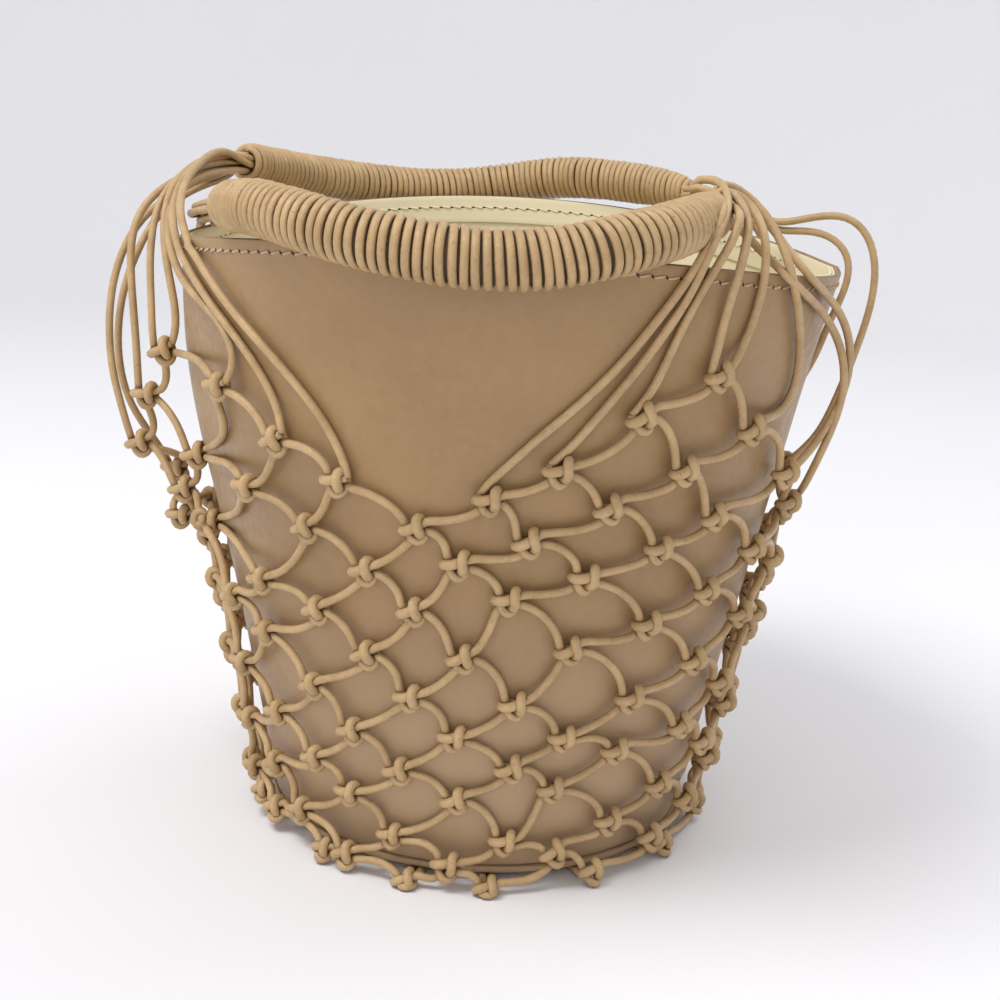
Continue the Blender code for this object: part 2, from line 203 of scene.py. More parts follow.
class Shader:
    """The node tree of one material, with short calls for the nodes that the finishes use."""

    def __init__(self, name: str) -> None:
        """Starts a material of that name."""
        self.material = bpy.data.materials.new(name)
        self.material.use_nodes = True
        self.nodes = self.material.node_tree.nodes
        self.links = self.material.node_tree.links
        self.surface = self.nodes["Principled BSDF"]

    def set(self, **values: float | tuple) -> None:
        """Sets sockets of the surface; a double underscore in a name stands for a space."""
        for name, value in values.items():
            self.surface.inputs[name.replace("__", " ")].default_value = value

    def noise(self, source: bpy.types.NodeSocket, scale: float, detail: float = 3.0
              ) -> bpy.types.NodeSocket:
        """A noise pattern, from 0 to 1."""
        node = self.nodes.new("ShaderNodeTexNoise")
        node.inputs["Scale"].default_value = scale
        node.inputs["Detail"].default_value = detail
        self.links.new(source, node.inputs["Vector"])
        return node.outputs["Fac"]

    def cells(self, source: bpy.types.NodeSocket, scale: float) -> bpy.types.NodeSocket:
        """Distance to the nearest point of a cell pattern."""
        node = self.nodes.new("ShaderNodeTexVoronoi")
        node.inputs["Scale"].default_value = scale
        self.links.new(source, node.inputs["Vector"])
        return node.outputs["Distance"]

    def ramp(self, source: bpy.types.NodeSocket, low: float, high: float, start: float = 0.0,
             stop: float = 1.0) -> bpy.types.NodeSocket:
        """Maps low..high of a value to start..stop, with smooth ends."""
        node = self.nodes.new("ShaderNodeMapRange")
        node.interpolation_type = "SMOOTHSTEP"
        for name, value in zip(("From Min", "From Max", "To Min", "To Max"), (low, high, start, stop)):
            node.inputs[name].default_value = value
        self.links.new(source, node.inputs["Value"])
        return node.outputs["Result"]

    def math(self, kind: str, first: bpy.types.NodeSocket, second: bpy.types.NodeSocket | float
             ) -> bpy.types.NodeSocket:
        """A sum, product or other operation on two values."""
        node = self.nodes.new("ShaderNodeMath")
        node.operation = kind
        self.links.new(first, node.inputs[0])
        if isinstance(second, float):
            node.inputs[1].default_value = second
        else:
            self.links.new(second, node.inputs[1])
        return node.outputs["Value"]

    def mix(self, share: bpy.types.NodeSocket, first: tuple | bpy.types.NodeSocket,
            second: tuple | bpy.types.NodeSocket) -> bpy.types.NodeSocket:
        """A mix of two colours."""
        node = self.nodes.new("ShaderNodeMix")
        node.data_type = "RGBA"
        self.links.new(share, node.inputs[0])
        for socket, value in ((node.inputs[6], first), (node.inputs[7], second)):
            if isinstance(value, tuple):
                socket.default_value = (*value, 1)
            else:
                self.links.new(value, socket)
        return node.outputs[2]

    def bump(self, height: bpy.types.NodeSocket, depth: float, strength: float = 1.0,
             under: bpy.types.NodeSocket | None = None) -> bpy.types.NodeSocket:
        """A bump of that depth in metres, on top of another one if it is given."""
        node = self.nodes.new("ShaderNodeBump")
        node.inputs["Distance"].default_value = depth
        node.inputs["Strength"].default_value = strength
        self.links.new(height, node.inputs["Height"])
        if under is not None:
            self.links.new(under, node.inputs["Normal"])
        return node.outputs["Normal"]

    def crease_shade_openness(self, reach: float) -> bpy.types.NodeSocket:
        """How open the surface is within a reach in metres: low in the creases between cords, where the
        cords' colour is darkened as painted shade.
        """
        node = self.nodes.new("ShaderNodeAmbientOcclusion")
        node.samples = CREASE_SHADE_SAMPLES
        node.inputs["Distance"].default_value = reach
        return node.outputs["AO"]

    def height(self, place: bpy.types.NodeSocket) -> bpy.types.NodeSocket:
        """Height above the floor."""
        node = self.nodes.new("ShaderNodeSeparateXYZ")
        self.links.new(place, node.inputs["Vector"])
        return node.outputs["Z"]

    def coordinates(self, kind: str = "Object") -> bpy.types.NodeSocket:
        """Object or UV coordinates."""
        return self.nodes.new("ShaderNodeTexCoord").outputs[kind]

    def wire(self, socket: bpy.types.NodeSocket, name: str) -> None:
        """Feeds a value into a socket of the surface."""
        self.links.new(socket, self.surface.inputs[name])


@dataclass(frozen=True)
class Leather:
    """Smooth leather: soft mottling, a fine grain, and a satin gloss that varies.

    Cords also have dark pores, and painted shade in the creases where they touch. The wall is painted paler
    near the floor, as light bounced up from it.
    """

    name: str
    colour: tuple[float, float, float]
    shade: tuple[float, float, float]
    roughness: float = 0.48
    mottle_scale: float = 18.0
    grain_scale: float = 1500.0
    grain_depth: float = 0.00006
    crease_depth: float = 0.0
    crease_scale: float = 60.0
    gloss: float = 0.4
    pores: float = 0.0
    crease_shade_reach: float = 0.0
    floor_bounce_light_tone: tuple = ()
    floor_bounce_light_heights: tuple[float, float] = (0.13, 0.045)
    dark_share: float = 0.40

    def build(self) -> bpy.types.Material:
        """Makes the material."""
        tree = Shader(self.name)
        place = tree.coordinates()
        cloud = tree.noise(place, self.mottle_scale, 4.0)
        fleck = tree.noise(place, self.grain_scale / 6, 3.0)
        pores = tree.ramp(tree.noise(place, self.grain_scale / 2.5, 2.0), 0.64, 0.72, 0.0, self.pores)
        both = tree.math("ADD", tree.math("MULTIPLY", cloud, 0.7), tree.math("MULTIPLY", fleck, 0.3))
        tone = tree.mix(tree.ramp(both, 0.32, 0.68), self.colour, self.shade)
        # Painted light: the wall turns paler and less saturated towards the floor, standing for light
        # bounced up from it.
        if self.floor_bounce_light_tone:
            tone = tree.mix(tree.ramp(tree.height(place), *self.floor_bounce_light_heights), tone, self.floor_bounce_light_tone)
        # One dark tone serves the real pores and the painted shade in the creases.
        dark = tuple(channel * self.dark_share for channel in self.shade)
        tone = tree.mix(pores, tone, dark)
        tree.wire(tree.ramp(fleck, 0.2, 0.8, self.roughness - 0.07, self.roughness + 0.09), "Roughness")
        # Painted shade: darker where an occlusion reading finds creases between touching cords.
        if self.crease_shade_reach:
            tone = tree.mix(tree.ramp(tree.crease_shade_openness(self.crease_shade_reach), 0.25, 0.82), dark, tone)
        tree.wire(tone, "Base Color")
        grain = tree.bump(tree.cells(place, self.grain_scale), self.grain_depth)
        if self.crease_depth:
            grain = tree.bump(tree.noise(place, self.crease_scale, 2.0), self.crease_depth, 1.0, grain)
        tree.wire(grain, "Normal")
        tree.set(Specular__IOR__Level=self.gloss)
        return tree.material


@dataclass(frozen=True)
class Suede:
    """Napped leather: a matt face with a soft sheen and brushed patches."""

    name: str
    colour: tuple[float, float, float]
    shade: tuple[float, float, float]
    nap_scale: float = 1400.0
    nap_depth: float = 0.00012

    def build(self) -> bpy.types.Material:
        """Makes the material."""
        tree = Shader(self.name)
        place = tree.coordinates()
        patches = tree.noise(place, 35.0, 4.0)
        nap = tree.noise(place, self.nap_scale, 4.0)
        both = tree.math("ADD", tree.math("MULTIPLY", patches, 0.6), tree.math("MULTIPLY", nap, 0.4))
        tree.wire(tree.mix(tree.ramp(both, 0.3, 0.7), self.colour, self.shade), "Base Color")
        tree.wire(tree.bump(nap, self.nap_depth), "Normal")
        tree.set(Roughness=0.93, Sheen__Weight=0.25, Sheen__Roughness=0.5, Specular__IOR__Level=0.2)
        return tree.material


@dataclass(frozen=True)
class Plain:
    """Thread, the floor, and the painted shade in stitch holes and under the handle wrapping: one colour
    with a slight grain.
    """

    name: str
    colour: tuple[float, float, float]
    shade: tuple[float, float, float]
    roughness: float
    scale: float = 900.0

    def build(self) -> bpy.types.Material:
        """Makes the material."""
        tree = Shader(self.name)
        speck = tree.noise(tree.coordinates(), self.scale, 2.0)
        tree.wire(tree.mix(tree.ramp(speck, 0.3, 0.7), self.colour, self.shade), "Base Color")
        tree.set(Roughness=self.roughness)
        return tree.material


class Finish(Enum):
    """The finishes of the bag and its surroundings."""

    # The wall's paler lower tone is painted light bounced from the floor.
    WALL = Leather("smooth_tan_leather", (0.365, 0.226, 0.103), (0.318, 0.194, 0.087), 0.38,
                   grain_scale=1700.0, grain_depth=0.00004, crease_depth=0.0003, crease_scale=20.0,
                   floor_bounce_light_tone=(0.430, 0.287, 0.163))
    EDGE = Leather("burnished_leather_edge", (0.27, 0.165, 0.080), (0.20, 0.118, 0.058), 0.5)
    # The cords' darkened creases are painted shade.
    CORD = Leather("tan_leather_cord", (0.545, 0.368, 0.183), (0.425, 0.277, 0.130), 0.41,
                   mottle_scale=70.0, grain_scale=2200.0, grain_depth=0.00008, pores=0.45,
                   crease_shade_reach=0.0022)
    # Painted shade: the handle padding is dark brown where it shows between the wrap's turns and in the
    # open ends.
    CORE = Plain("painted_shade_padding", (0.10, 0.060, 0.030), (0.07, 0.042, 0.022), 0.8)
    LINING = Suede("cream_suede", (0.88, 0.74, 0.46), (0.78, 0.65, 0.39))
    THREAD = Plain("tan_thread", (0.60, 0.44, 0.27), (0.50, 0.36, 0.21), 0.8)
    # Painted shade: the stitch holes are near-black slits standing for the shade inside them.
    HOLE = Plain("stitch_hole_shade", (0.035, 0.022, 0.014), (0.05, 0.03, 0.02), 0.9)
    FLOOR = Plain("pale_floor", (0.88, 0.875, 0.89), (0.87, 0.865, 0.88), 0.9, scale=3.0)

    def material(self) -> bpy.types.Material:
        """The finish's material, made on its first use."""
        known = bpy.data.materials.get(self.value.name)
        return known or self.value.build()


# Pieces


def add_piece(name: str, mesh: bpy.types.Mesh, finishes: list[Finish], nodes: list[str]
              ) -> bpy.types.Object:
    """Adds a mesh as a piece of the bag.

    Args:
        name: The piece's name.
        mesh: Its mesh, in the frame's coordinates.
        finishes: Its finishes, one for each material index.
        nodes: CAD nodes that the piece stands for.

    Returns:
        The piece's object.
    """
    mesh.name = name
    for finish in finishes:
        mesh.materials.append(finish.material())
    mesh.shade_smooth()
    piece = bpy.data.objects.new(name, mesh)
    bpy.context.scene.collection.objects.link(piece)
    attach(piece, BODY)
    if nodes:
        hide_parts(*nodes)
    LOG.info("%s: %d faces", name, len(mesh.polygons))
    return piece


def mesh_from(bm: bmesh.types.BMesh, name: str, recalc: bool = True) -> bpy.types.Mesh:
    """Turns a bmesh into a mesh, with its faces pointing outwards."""
    if recalc:
        bmesh.ops.recalc_face_normals(bm, faces=bm.faces)
    mesh = bpy.data.meshes.new(name)
    bm.to_mesh(mesh)
    bm.free()
    return mesh


@dataclass
class CordLine:
    """One cord's middle line, with its radius along it."""

    points: list[Vector]
    radii: list[float]


def cord_mesh(name: str, lines: list[CordLine], fineness: int = 2) -> bpy.types.Mesh:
    """Round closed tubes along lines.

    Args:
        name: Name of the mesh.
        lines: The cords' middle lines.
        fineness: 0 gives 4 sides, and each step adds 2.

    Returns:
        The mesh of all the tubes.
    """
    curve = bpy.data.curves.new(name, "CURVE")
    curve.dimensions = "3D"
    curve.bevel_depth = 1.0
    curve.bevel_resolution = fineness
    curve.use_fill_caps = True
    curve.twist_mode = "MINIMUM"
    for line in lines:
        spline = curve.splines.new("POLY")
        spline.points.add(len(line.points) - 1)
        for point, place, radius in zip(spline.points, line.points, line.radii):
            point.co = (*place, 1)
            point.radius = radius
    maker = bpy.data.objects.new(name, curve)
    bpy.context.scene.collection.objects.link(maker)
    bpy.context.view_layer.update()
    mesh = bpy.data.meshes.new_from_object(maker.evaluated_get(bpy.context.evaluated_depsgraph_get()))
    bpy.data.objects.remove(maker)
    bpy.data.curves.remove(curve)
    bm = bmesh.new()
    bm.from_mesh(mesh)
    bpy.data.meshes.remove(mesh)
    bmesh.ops.remove_doubles(bm, verts=bm.verts, dist=0.000001)
    return mesh_from(bm, name)


# Camera


@dataclass(frozen=True)
class PhotoCamera:
    """The photograph's camera, also used to place pieces by their pixels in a 1000 by 1000 picture."""

    place: Vector = field(default_factory=lambda: Vector((0.0468, -0.640, 0.2927)))
    yaw: float = -0.0675
    pitch: float = 0.2508
    roll: float = 0.0572
    focal_pixels: float = 1597.0
    picture: float = 1000.0
    sensor: float = 36.0
    near: float = 0.40
    far: float = 0.80
    coarse_steps: int = 200
    fine_steps: int = 20

    def axes(self) -> tuple[Vector, Vector, Vector]:
        """Right, up and forward directions."""
        level = math.cos(self.pitch)
        forward = Vector((math.sin(self.yaw) * level, math.cos(self.yaw) * level, -math.sin(self.pitch)))
        flat_right = forward.cross(UP).normalized()
        flat_up = flat_right.cross(forward)
        right = flat_right * math.cos(self.roll) + flat_up * math.sin(self.roll)
        return right, flat_up * math.cos(self.roll) - flat_right * math.sin(self.roll), forward

    def ray(self, pixel: tuple[float, float]) -> Vector:
        """Direction of the ray through a pixel."""
        right, up, forward = self.axes()
        half = self.picture / 2
        aim = forward * self.focal_pixels + right * (pixel[0] - half) + up * (half - pixel[1])
        return aim.normalized()

    def on_plane(self, pixel: tuple[float, float], depth: float) -> Vector:
        """Where a pixel's ray meets the upright plane y = depth."""
        ray = self.ray(pixel)
        return self.place + ray * ((depth - self.place.y) / ray.y)

    def on_surface(self, pixel: tuple[float, float], gap: Callable[[Vector], float]) -> Vector:
        """Where a pixel's ray first comes nearest to a surface.

        Args:
            pixel: The pixel.
            gap: A point's distance outside the surface, negative inside it.

        Returns:
            The first point on the surface, or the nearest point where the ray misses it.
        """
        ray = self.ray(pixel)
        steps = self.coarse_steps

        def along(step: float) -> Vector:
            """The ray's point at a step."""
            return self.place + ray * (self.near + (self.far - self.near) * step / steps)

        best = None
        for i in range(steps + 1):
            point = along(i)
            distance = gap(point)
            if best is None or distance < best[0]:
                best = (distance, point, i)
            if distance <= 0:
                break
        if best[0] > 0:
            return best[1]
        low, high = best[2] - 1, best[2]
        for _ in range(self.fine_steps):
            middle = (low + high) / 2
            if gap(along(middle)) > 0:
                low = middle
            else:
                high = middle
        return along(high)

    def build(self) -> None:
        """Makes the scene's camera."""
        data = bpy.data.cameras.new("photo_camera")
        data.sensor_width = self.sensor
        data.lens = self.sensor * self.focal_pixels / self.picture
        data.clip_start = 0.01
        data.clip_end = 50.0
        camera = bpy.data.objects.new("photo_camera", data)
        bpy.context.scene.collection.objects.link(camera)
        right, up, forward = self.axes()
        turn = Matrix((right, up, -forward)).transposed()
        camera.matrix_world = Matrix.Translation(self.place) @ turn.to_4x4()
        bpy.context.scene.camera = camera


# Bucket


@dataclass
class Bucket:
    """The leather bucket: wall, suede lining, rim facing, sole and their stitches.

    A dent has its angle, its share of the height, its half width and half height, and its depth in wall
    thicknesses. The corner is a pinch that pulls the rim out at one side.
    """

    mouth_radius: float = 0.134
    base_radius: float = 0.086
    height: float = 0.2375
    bottom: float = 0.0062
    side_dip: float = 0.0117
    wall: float = 0.002
    lining: float = 0.001
    facing: float = 0.001
    facing_height: float = 0.012
    gap: float = 0.0003
    sole: float = 0.0025
    sole_bottom: float = 0.0034
    sole_overhang: float = 0.001
    segments: int = 180
    rings: int = 60
    stitch_drop: float = 0.0043
    stitch_pitch: float = 0.0054
    inner_stitch_drop: float = 0.0050
    stitch_path: tuple = (
        (0.04, -0.00045, -0.0003), (0.20, -0.00038, 0.00018), (0.5, 0.0, 0.0003),
        (0.78, 0.00038, 0.00018), (0.94, 0.00045, -0.0003))
    stitch_radii: tuple = (0.0002, 0.00040, 0.00044, 0.00040, 0.0002)
    outer_slit: tuple = ((-0.0007, 0.0008), (0.0, 0.0), (0.0007, -0.0008))
    inner_slit: tuple = ((-0.001, 0.0001), (0.0, 0.0), (0.001, -0.0001))
    slit_radii: tuple = (0.0002, 0.00050, 0.0002)
    slit_depth: float = 0.00012
    edge_round: float = 0.3
    sole_round: float = 0.35
    corner: float = 0.0042
    corner_angle: float = 94.0
    corner_width: float = 9.0
    corner_power: int = 6
    cord_stand: float = 0.00185
    rim_margin: float = 0.002
    sunk_most: float = 0.02
    dents: tuple = (
        (-62, 0.62, 16, 0.20, 1.0),
        (28, 0.35, 18, 0.18, 0.8),
        (96, 0.80, 12, 0.16, 1.2),
        (-150, 0.55, 20, 0.24, 1.0),
        (-90, 1.00, 26, 0.11, 3.3),
        (-90, 0.66, 30, 0.16, -2.4),
        (8, 0.50, 9, 0.07, 0.5),
        (23, 0.27, 8, 0.06, 0.5),
        (-24, 0.31, 8, 0.08, 0.45),
        (36, 0.61, 10, 0.09, 0.6),
        (-13, 0.16, 8, 0.05, 0.4),
    )

    def rim(self, angle: float) -> float:
        """Height of the wall's top edge."""
        return self.bottom + self.height - self.side_dip * math.sin(math.radians(angle)) ** 2

    def radius(self, angle: float, height: float) -> float:
        """Outer radius of the wall, its soft dents included."""
        share = (height - self.bottom) / self.height
        radius = self.base_radius + (self.mouth_radius - self.base_radius) * share
        for dent_angle, dent_share, half_width, half_height, depth in self.dents:
            across = bell(turn_between(angle, dent_angle), half_width)
            radius -= depth * self.wall * across * bell(share - dent_share, half_height)
        pinch = math.exp(-abs(turn_between(angle, self.corner_angle)) / self.corner_width)
        return radius + self.corner * pinch * max(share, 0) ** self.corner_power

    def point(self, angle: float, height: float, out: float = 0.0) -> Vector:
        """A point off the wall's outer face."""
        return around(angle, self.radius(angle, height) + out, height)

    def off_the_wall(self, points: list[Vector]) -> list[Vector]:
        """The same points, moved out of the leather where they are below the rim."""
        moved = []
        for point in points:
            angle, radius = angle_of(point), math.hypot(point.x, point.y)
            least = self.radius(angle, point.z) + self.cord_stand
            below = self.rim(angle) - point.z > self.rim_margin
            if below and least - self.sunk_most < radius < least:
                point = around(angle, least, point.z)
            moved.append(point)
        return moved

    def from_rim(self, angle: float, outward: float, upward: float) -> Vector:
        """A point at distances outward and upward from the rim's outer edge."""
        height = self.rim(angle)
        return around(angle, self.radius(angle, height) + outward, height + upward)

    def shell(self, inset: float, low: Callable[[float], float], drop: float, rings: int
              ) -> bmesh.types.BMesh:
        """An open surface along the wall.

        Args:
            inset: Distance inside the wall's outer face.
            low: Height of the lower edge at an angle.
            drop: How far the upper edge is below the rim.
            rings: Rows of faces.

        Returns:
            The surface, with a UV map in metres: along the rim, and down from it.
        """
        bm = bmesh.new()
        bmesh.ops.create_cone(bm, cap_ends=False, segments=self.segments, radius1=1, radius2=1, depth=1)
        upright = [edge for edge in bm.edges if abs(edge.verts[0].co.z - edge.verts[1].co.z) > 0.5]
        bmesh.ops.subdivide_edges(bm, edges=upright, cuts=rings - 1, use_grid_fill=True)
        for vert in bm.verts:
            angle = angle_of(vert.co)
            top = self.rim(angle) - drop
            bottom = low(angle)
            height = bottom + (top - bottom) * (vert.co.z + 0.5)
            vert.co = around(angle, self.radius(angle, height) - inset, height)
        self.map_rim(bm)
        return bm

    def map_rim(self, bm: bmesh.types.BMesh) -> None:
        """Writes a UV map in metres: distance round the rim, and distance below it."""
        layer = bm.loops.layers.uv.new("rim_distance")
        for face in bm.faces:
            middle = angle_of(face.calc_center_median())
            for loop in face.loops:
                angle = middle + turn_between(angle_of(loop.vert.co), middle)
                loop[layer].uv = (math.radians(angle) * self.mouth_radius, self.rim(angle) - loop.vert.co.z)

    def thicken(self, piece: bpy.types.Object, thickness: float, rim_finish: int = 0) -> None:
        """Gives a surface its thickness, inwards, and rounds its edges."""
        shell = piece.modifiers.new("Thickness", "SOLIDIFY")
        shell.thickness = thickness
        shell.offset = -1
        shell.use_even_offset = True
        shell.material_offset_rim = rim_finish
        edge = piece.modifiers.new("Edge", "BEVEL")
        edge.width = thickness * self.edge_round
        edge.segments = 2
        edge.limit_method = "ANGLE"

    def build_wall(self) -> None:
        """The tan outer wall, with a burnished cut edge."""
        mesh = mesh_from(self.shell(0, lambda angle: self.bottom, 0, self.rings), "leather_wall")
        piece = add_piece("leather_wall", mesh, [Finish.WALL, Finish.EDGE], ["bucket_wall"])
        self.thicken(piece, self.wall, 1)

    def build_lining(self) -> None:
        """The cream suede lining, closed at its bottom."""
        bm = self.shell(self.wall + self.gap, lambda angle: self.bottom, self.gap, 24)
        open_edges = [edge for edge in bm.edges if edge.is_boundary]
        lowest = [edge for edge in open_edges if max(v.co.z for v in edge.verts) < self.height / 2]
        bmesh.ops.contextual_create(bm, geom=lowest)
        mesh = mesh_from(bm, "suede_lining")
        piece = add_piece("suede_lining", mesh, [Finish.LINING], ["lining"])
        self.thicken(piece, self.lining)

    def build_facing(self) -> None:
        """The suede strip inside the rim, with its line of stitches."""
        inset = self.wall + self.lining + 2 * self.gap
        bm = self.shell(inset, lambda angle: self.rim(angle) - self.facing_height, 0, 6)
        mesh = mesh_from(bm, "suede_facing")
        piece = add_piece("suede_facing", mesh, [Finish.LINING], ["rim_facing"])
        self.thicken(piece, self.facing)

    def build_sole(self) -> None:
        """The round leather sole with a rounded edge."""
        bm = bmesh.new()
        radius = self.base_radius + self.sole_overhang
        bmesh.ops.create_cone(bm, cap_ends=True, segments=self.segments, radius1=radius, radius2=radius,
                              depth=self.sole)
        outer = [edge for edge in bm.edges if len({round(v.co.z, 5) for v in edge.verts}) == 1]
        bmesh.ops.bevel(bm, geom=outer, offset=self.sole * self.sole_round, affect="EDGES", segments=3,
                        profile=0.5, material=-1)
        bmesh.ops.translate(bm, vec=(0, 0, self.sole_bottom + self.sole / 2), verts=bm.verts)
        mesh = mesh_from(bm, "leather_sole")
        add_piece("leather_sole", mesh, [Finish.WALL], ["base_panel"])

    def stitch_angles(self) -> list[float]:
        """Angles of the stitch holes round the rim."""
        count = round(2 * math.pi * self.mouth_radius / self.stitch_pitch)
        return [360 * i / count for i in range(count + 1)]

    def build_rim_stitches(self) -> None:
        """Slanting saddle stitches below the rim, outside and on the facing inside, with their holes as
        near-black painted shade.
        """
        rows = (("outer_stitches", self.stitch_drop, 1), ("inner_stitches", self.inner_stitch_drop, -1))
        for name, drop, face in rows:
            lines, holes = [], []
            inset = 0.0 if face > 0 else self.wall + self.lining + self.facing + 2 * self.gap
            angles = self.stitch_angles()
            for first, second in zip(angles, angles[1:]):
                places = []
                for share, rise, out in self.stitch_path:
                    angle = first + (second - first) * share
                    height = self.rim(angle) - drop + rise
                    places.append(self.point(angle, height, face * out - inset))
                lines.append(CordLine(places, list(self.stitch_radii)))
                holes.append(self.hole(first, self.rim(first) - drop, face, inset))
            finish = Finish.THREAD if face > 0 else Finish.LINING
            add_piece(name, cord_mesh(name, lines, 1), [finish], [])
            hole_name = name.replace("stitches", "stitch_holes")
            add_piece(hole_name, cord_mesh(hole_name, holes, 1), [Finish.HOLE], [])

    def hole(self, angle: float, height: float, face: int, inset: float) -> CordLine:
        """A short slit, slanting outside and level inside, sunk so that only its top shows; its near-black
        colour is painted shade inside the hole.
        """
        places = []
        for along, rise in self.outer_slit if face > 0 else self.inner_slit:
            turned = angle + math.degrees(along / self.mouth_radius)
            places.append(self.point(turned, height + rise, -inset - face * self.slit_depth))
        return CordLine(places, list(self.slit_radii))

    def build(self) -> None:
        """Builds every piece of the bucket."""
        self.build_wall()
        self.build_lining()
        self.build_facing()
        self.build_sole()
        self.build_rim_stitches()


# Handles


@dataclass
class Handle:
    """A padded handle, wrapped closely in one leather cord.

    Its route has rows of angle, outward and upward from the rim, in handle diameters. Each nose has its
    length and its end radius, and each trim is a stretch without wrapping.
    """

    name: str
    bucket: Bucket
    route: tuple
    diameter: float = 0.0200
    end_diameter: float = 0.0172
    cad_points: int = 15
    middle_pitch: float = 0.00350
    end_pitch: float = 0.00245
    wrap_radius: float = 0.00160
    lean: float = 0.0006
    steps_per_turn: int = 22
    seed: int = 3
    noses: tuple = ((0.004, 0.0080), (0.004, 0.0080))
    trims: tuple = (0.0, 0.0)
    pitch_power: float = 1.6
    fine_steps: int = 1200
    most_turns: int = 200
    uneven_height: float = 0.00014
    uneven_slant: float = 0.0005
    core_steps: int = 120
    core_inset: float = 0.003
    core_depth: float = 1.25

    def line(self) -> list[Vector]:
        """The middle line, as in the CAD."""
        points = [
            self.bucket.from_rim(angle, outward * self.diameter, upward * self.diameter)
            for angle, outward, upward in self.route]
        return even_points(catmull_rom(points, 6), self.cad_points)

    def radius(self, share: float) -> float:
        """Outer radius at a share of the length."""
        off = abs(2 * share - 1)
        full = (self.diameter + (self.end_diameter - self.diameter) * off ** 3) / 2
        end = 0 if share < 0.5 else 1
        length, narrow = self.noses[end]
        inward = max((1 - off) / 2 * self.length - self.trims[end], 0) / length
        if inward >= 1:
            return full
        return narrow + (full - narrow) * math.sqrt(1 - (1 - inward) ** 2)

    def pitch(self, share: float) -> float:
        """Distance between turns at a share of the length."""
        off = abs(2 * share - 1) ** self.pitch_power
        return self.middle_pitch + (self.end_pitch - self.middle_pitch) * off

    @property
    def length(self) -> float:
        """Length of the handle."""
        return line_length(self.line())

    def frames(self, count: int) -> list[tuple[Vector, Vector, Vector]]:
        """Points along the line, each with two directions across it that don't twist."""
        line = even_points(catmull_rom(self.line(), 8), count)
        frames = []
        across = UP
        for i, point in enumerate(line):
            along = (line[min(i + 1, count - 1)] - line[max(i - 1, 0)]).normalized()
            across = (across - along * across.dot(along)).normalized()
            frames.append((point, across, along.cross(across)))
        return frames

    def wrap(self) -> CordLine:
        """The helix of the wrapping cord, with slightly uneven turns."""
        draw = random.Random(self.seed)
        fine = self.fine_steps
        length = self.length
        frames = self.frames(fine + 1)
        outer = [self.radius(i / fine) for i in range(fine + 1)]
        first, last = (round(fine * trim / length) for trim in self.trims)
        last = fine - last
        lift = [draw.uniform(-1, 1) * self.uneven_height for _ in range(self.most_turns)]
        tilt = [draw.uniform(-1, 1) * self.uneven_slant for _ in range(self.most_turns)]
        points, radii = [], []
        place, turn = float(first), 0.0
        while place < last:
            i = int(place)
            middle, across, second = frames[i]
            middle = middle.lerp(frames[i + 1][0], place - i)
            k = int(turn)
            raised = lift[k] + (lift[k + 1] - lift[k]) * (turn - k)
            slant = tilt[k] + (tilt[k + 1] - tilt[k]) * (turn - k) + self.lean
            swing = 2 * math.pi * turn
            reach = outer[i] + (outer[i + 1] - outer[i]) * (place - i) - self.wrap_radius + raised
            along = across.cross(second) * slant * math.sin(swing)
            points.append(middle + (across * math.cos(swing) + second * math.sin(swing)) * reach + along)
            radii.append(self.wrap_radius)
            turn += 1 / self.steps_per_turn
            place += self.pitch(place / fine) / self.steps_per_turn / length * fine
        return CordLine(points, radii)

    def build(self) -> None:
        """Builds the wrapping and the padded core under it, dark brown as painted shade between the turns.
        """
        steps = self.core_steps
        inset = [round(steps * (trim + self.core_inset) / self.length) for trim in self.trims]
        shown = range(inset[0], steps + 1 - inset[1])
        frames = self.frames(steps + 1)
        core = CordLine([frames[i][0] for i in shown],
                        [self.radius(i / steps) - self.wrap_radius * self.core_depth for i in shown])
        wrap, padding = cord_mesh(self.name, [self.wrap()]), cord_mesh(self.name, [core], 6)
        add_piece(f"{self.name}_wrap", wrap, [Finish.CORD], [self.name])
        add_piece(f"{self.name}_core", padding, [Finish.CORE], [])


FRONT_ROUTE = (
    (-46.5, -0.16, 0.56), (-40, -0.02, 0.55), (-34, 0.15, 0.54), (-28, 0.31, 0.45), (-22, 0.45, 0.32),
    (-15, 0.55, 0.15), (-7, 0.57, 0.00), (0, 0.57, -0.08), (7, 0.57, -0.06), (13, 0.57, 0.09),
    (18.5, 0.50, 0.27), (23, 0.35, 0.43), (28, 0.08, 0.58), (33.5, -0.34, 0.71), (39, -0.70, 0.83))
BACK_ROUTE = (
    (-117, 0.30, 1.09), (-127, 0.34, 0.82), (-138, 0.44, 0.53), (-147, 0.52, 0.32), (-157, 0.57, 0.14),
    (-166, 0.57, 0.12), (-173, 0.53, 0.22), (-180, 0.42, 0.38), (-187, 0.20, 0.53), (-194, -0.02, 0.59),
    (-204, -0.09, 0.61), (-215, -0.12, 0.63))


# Net


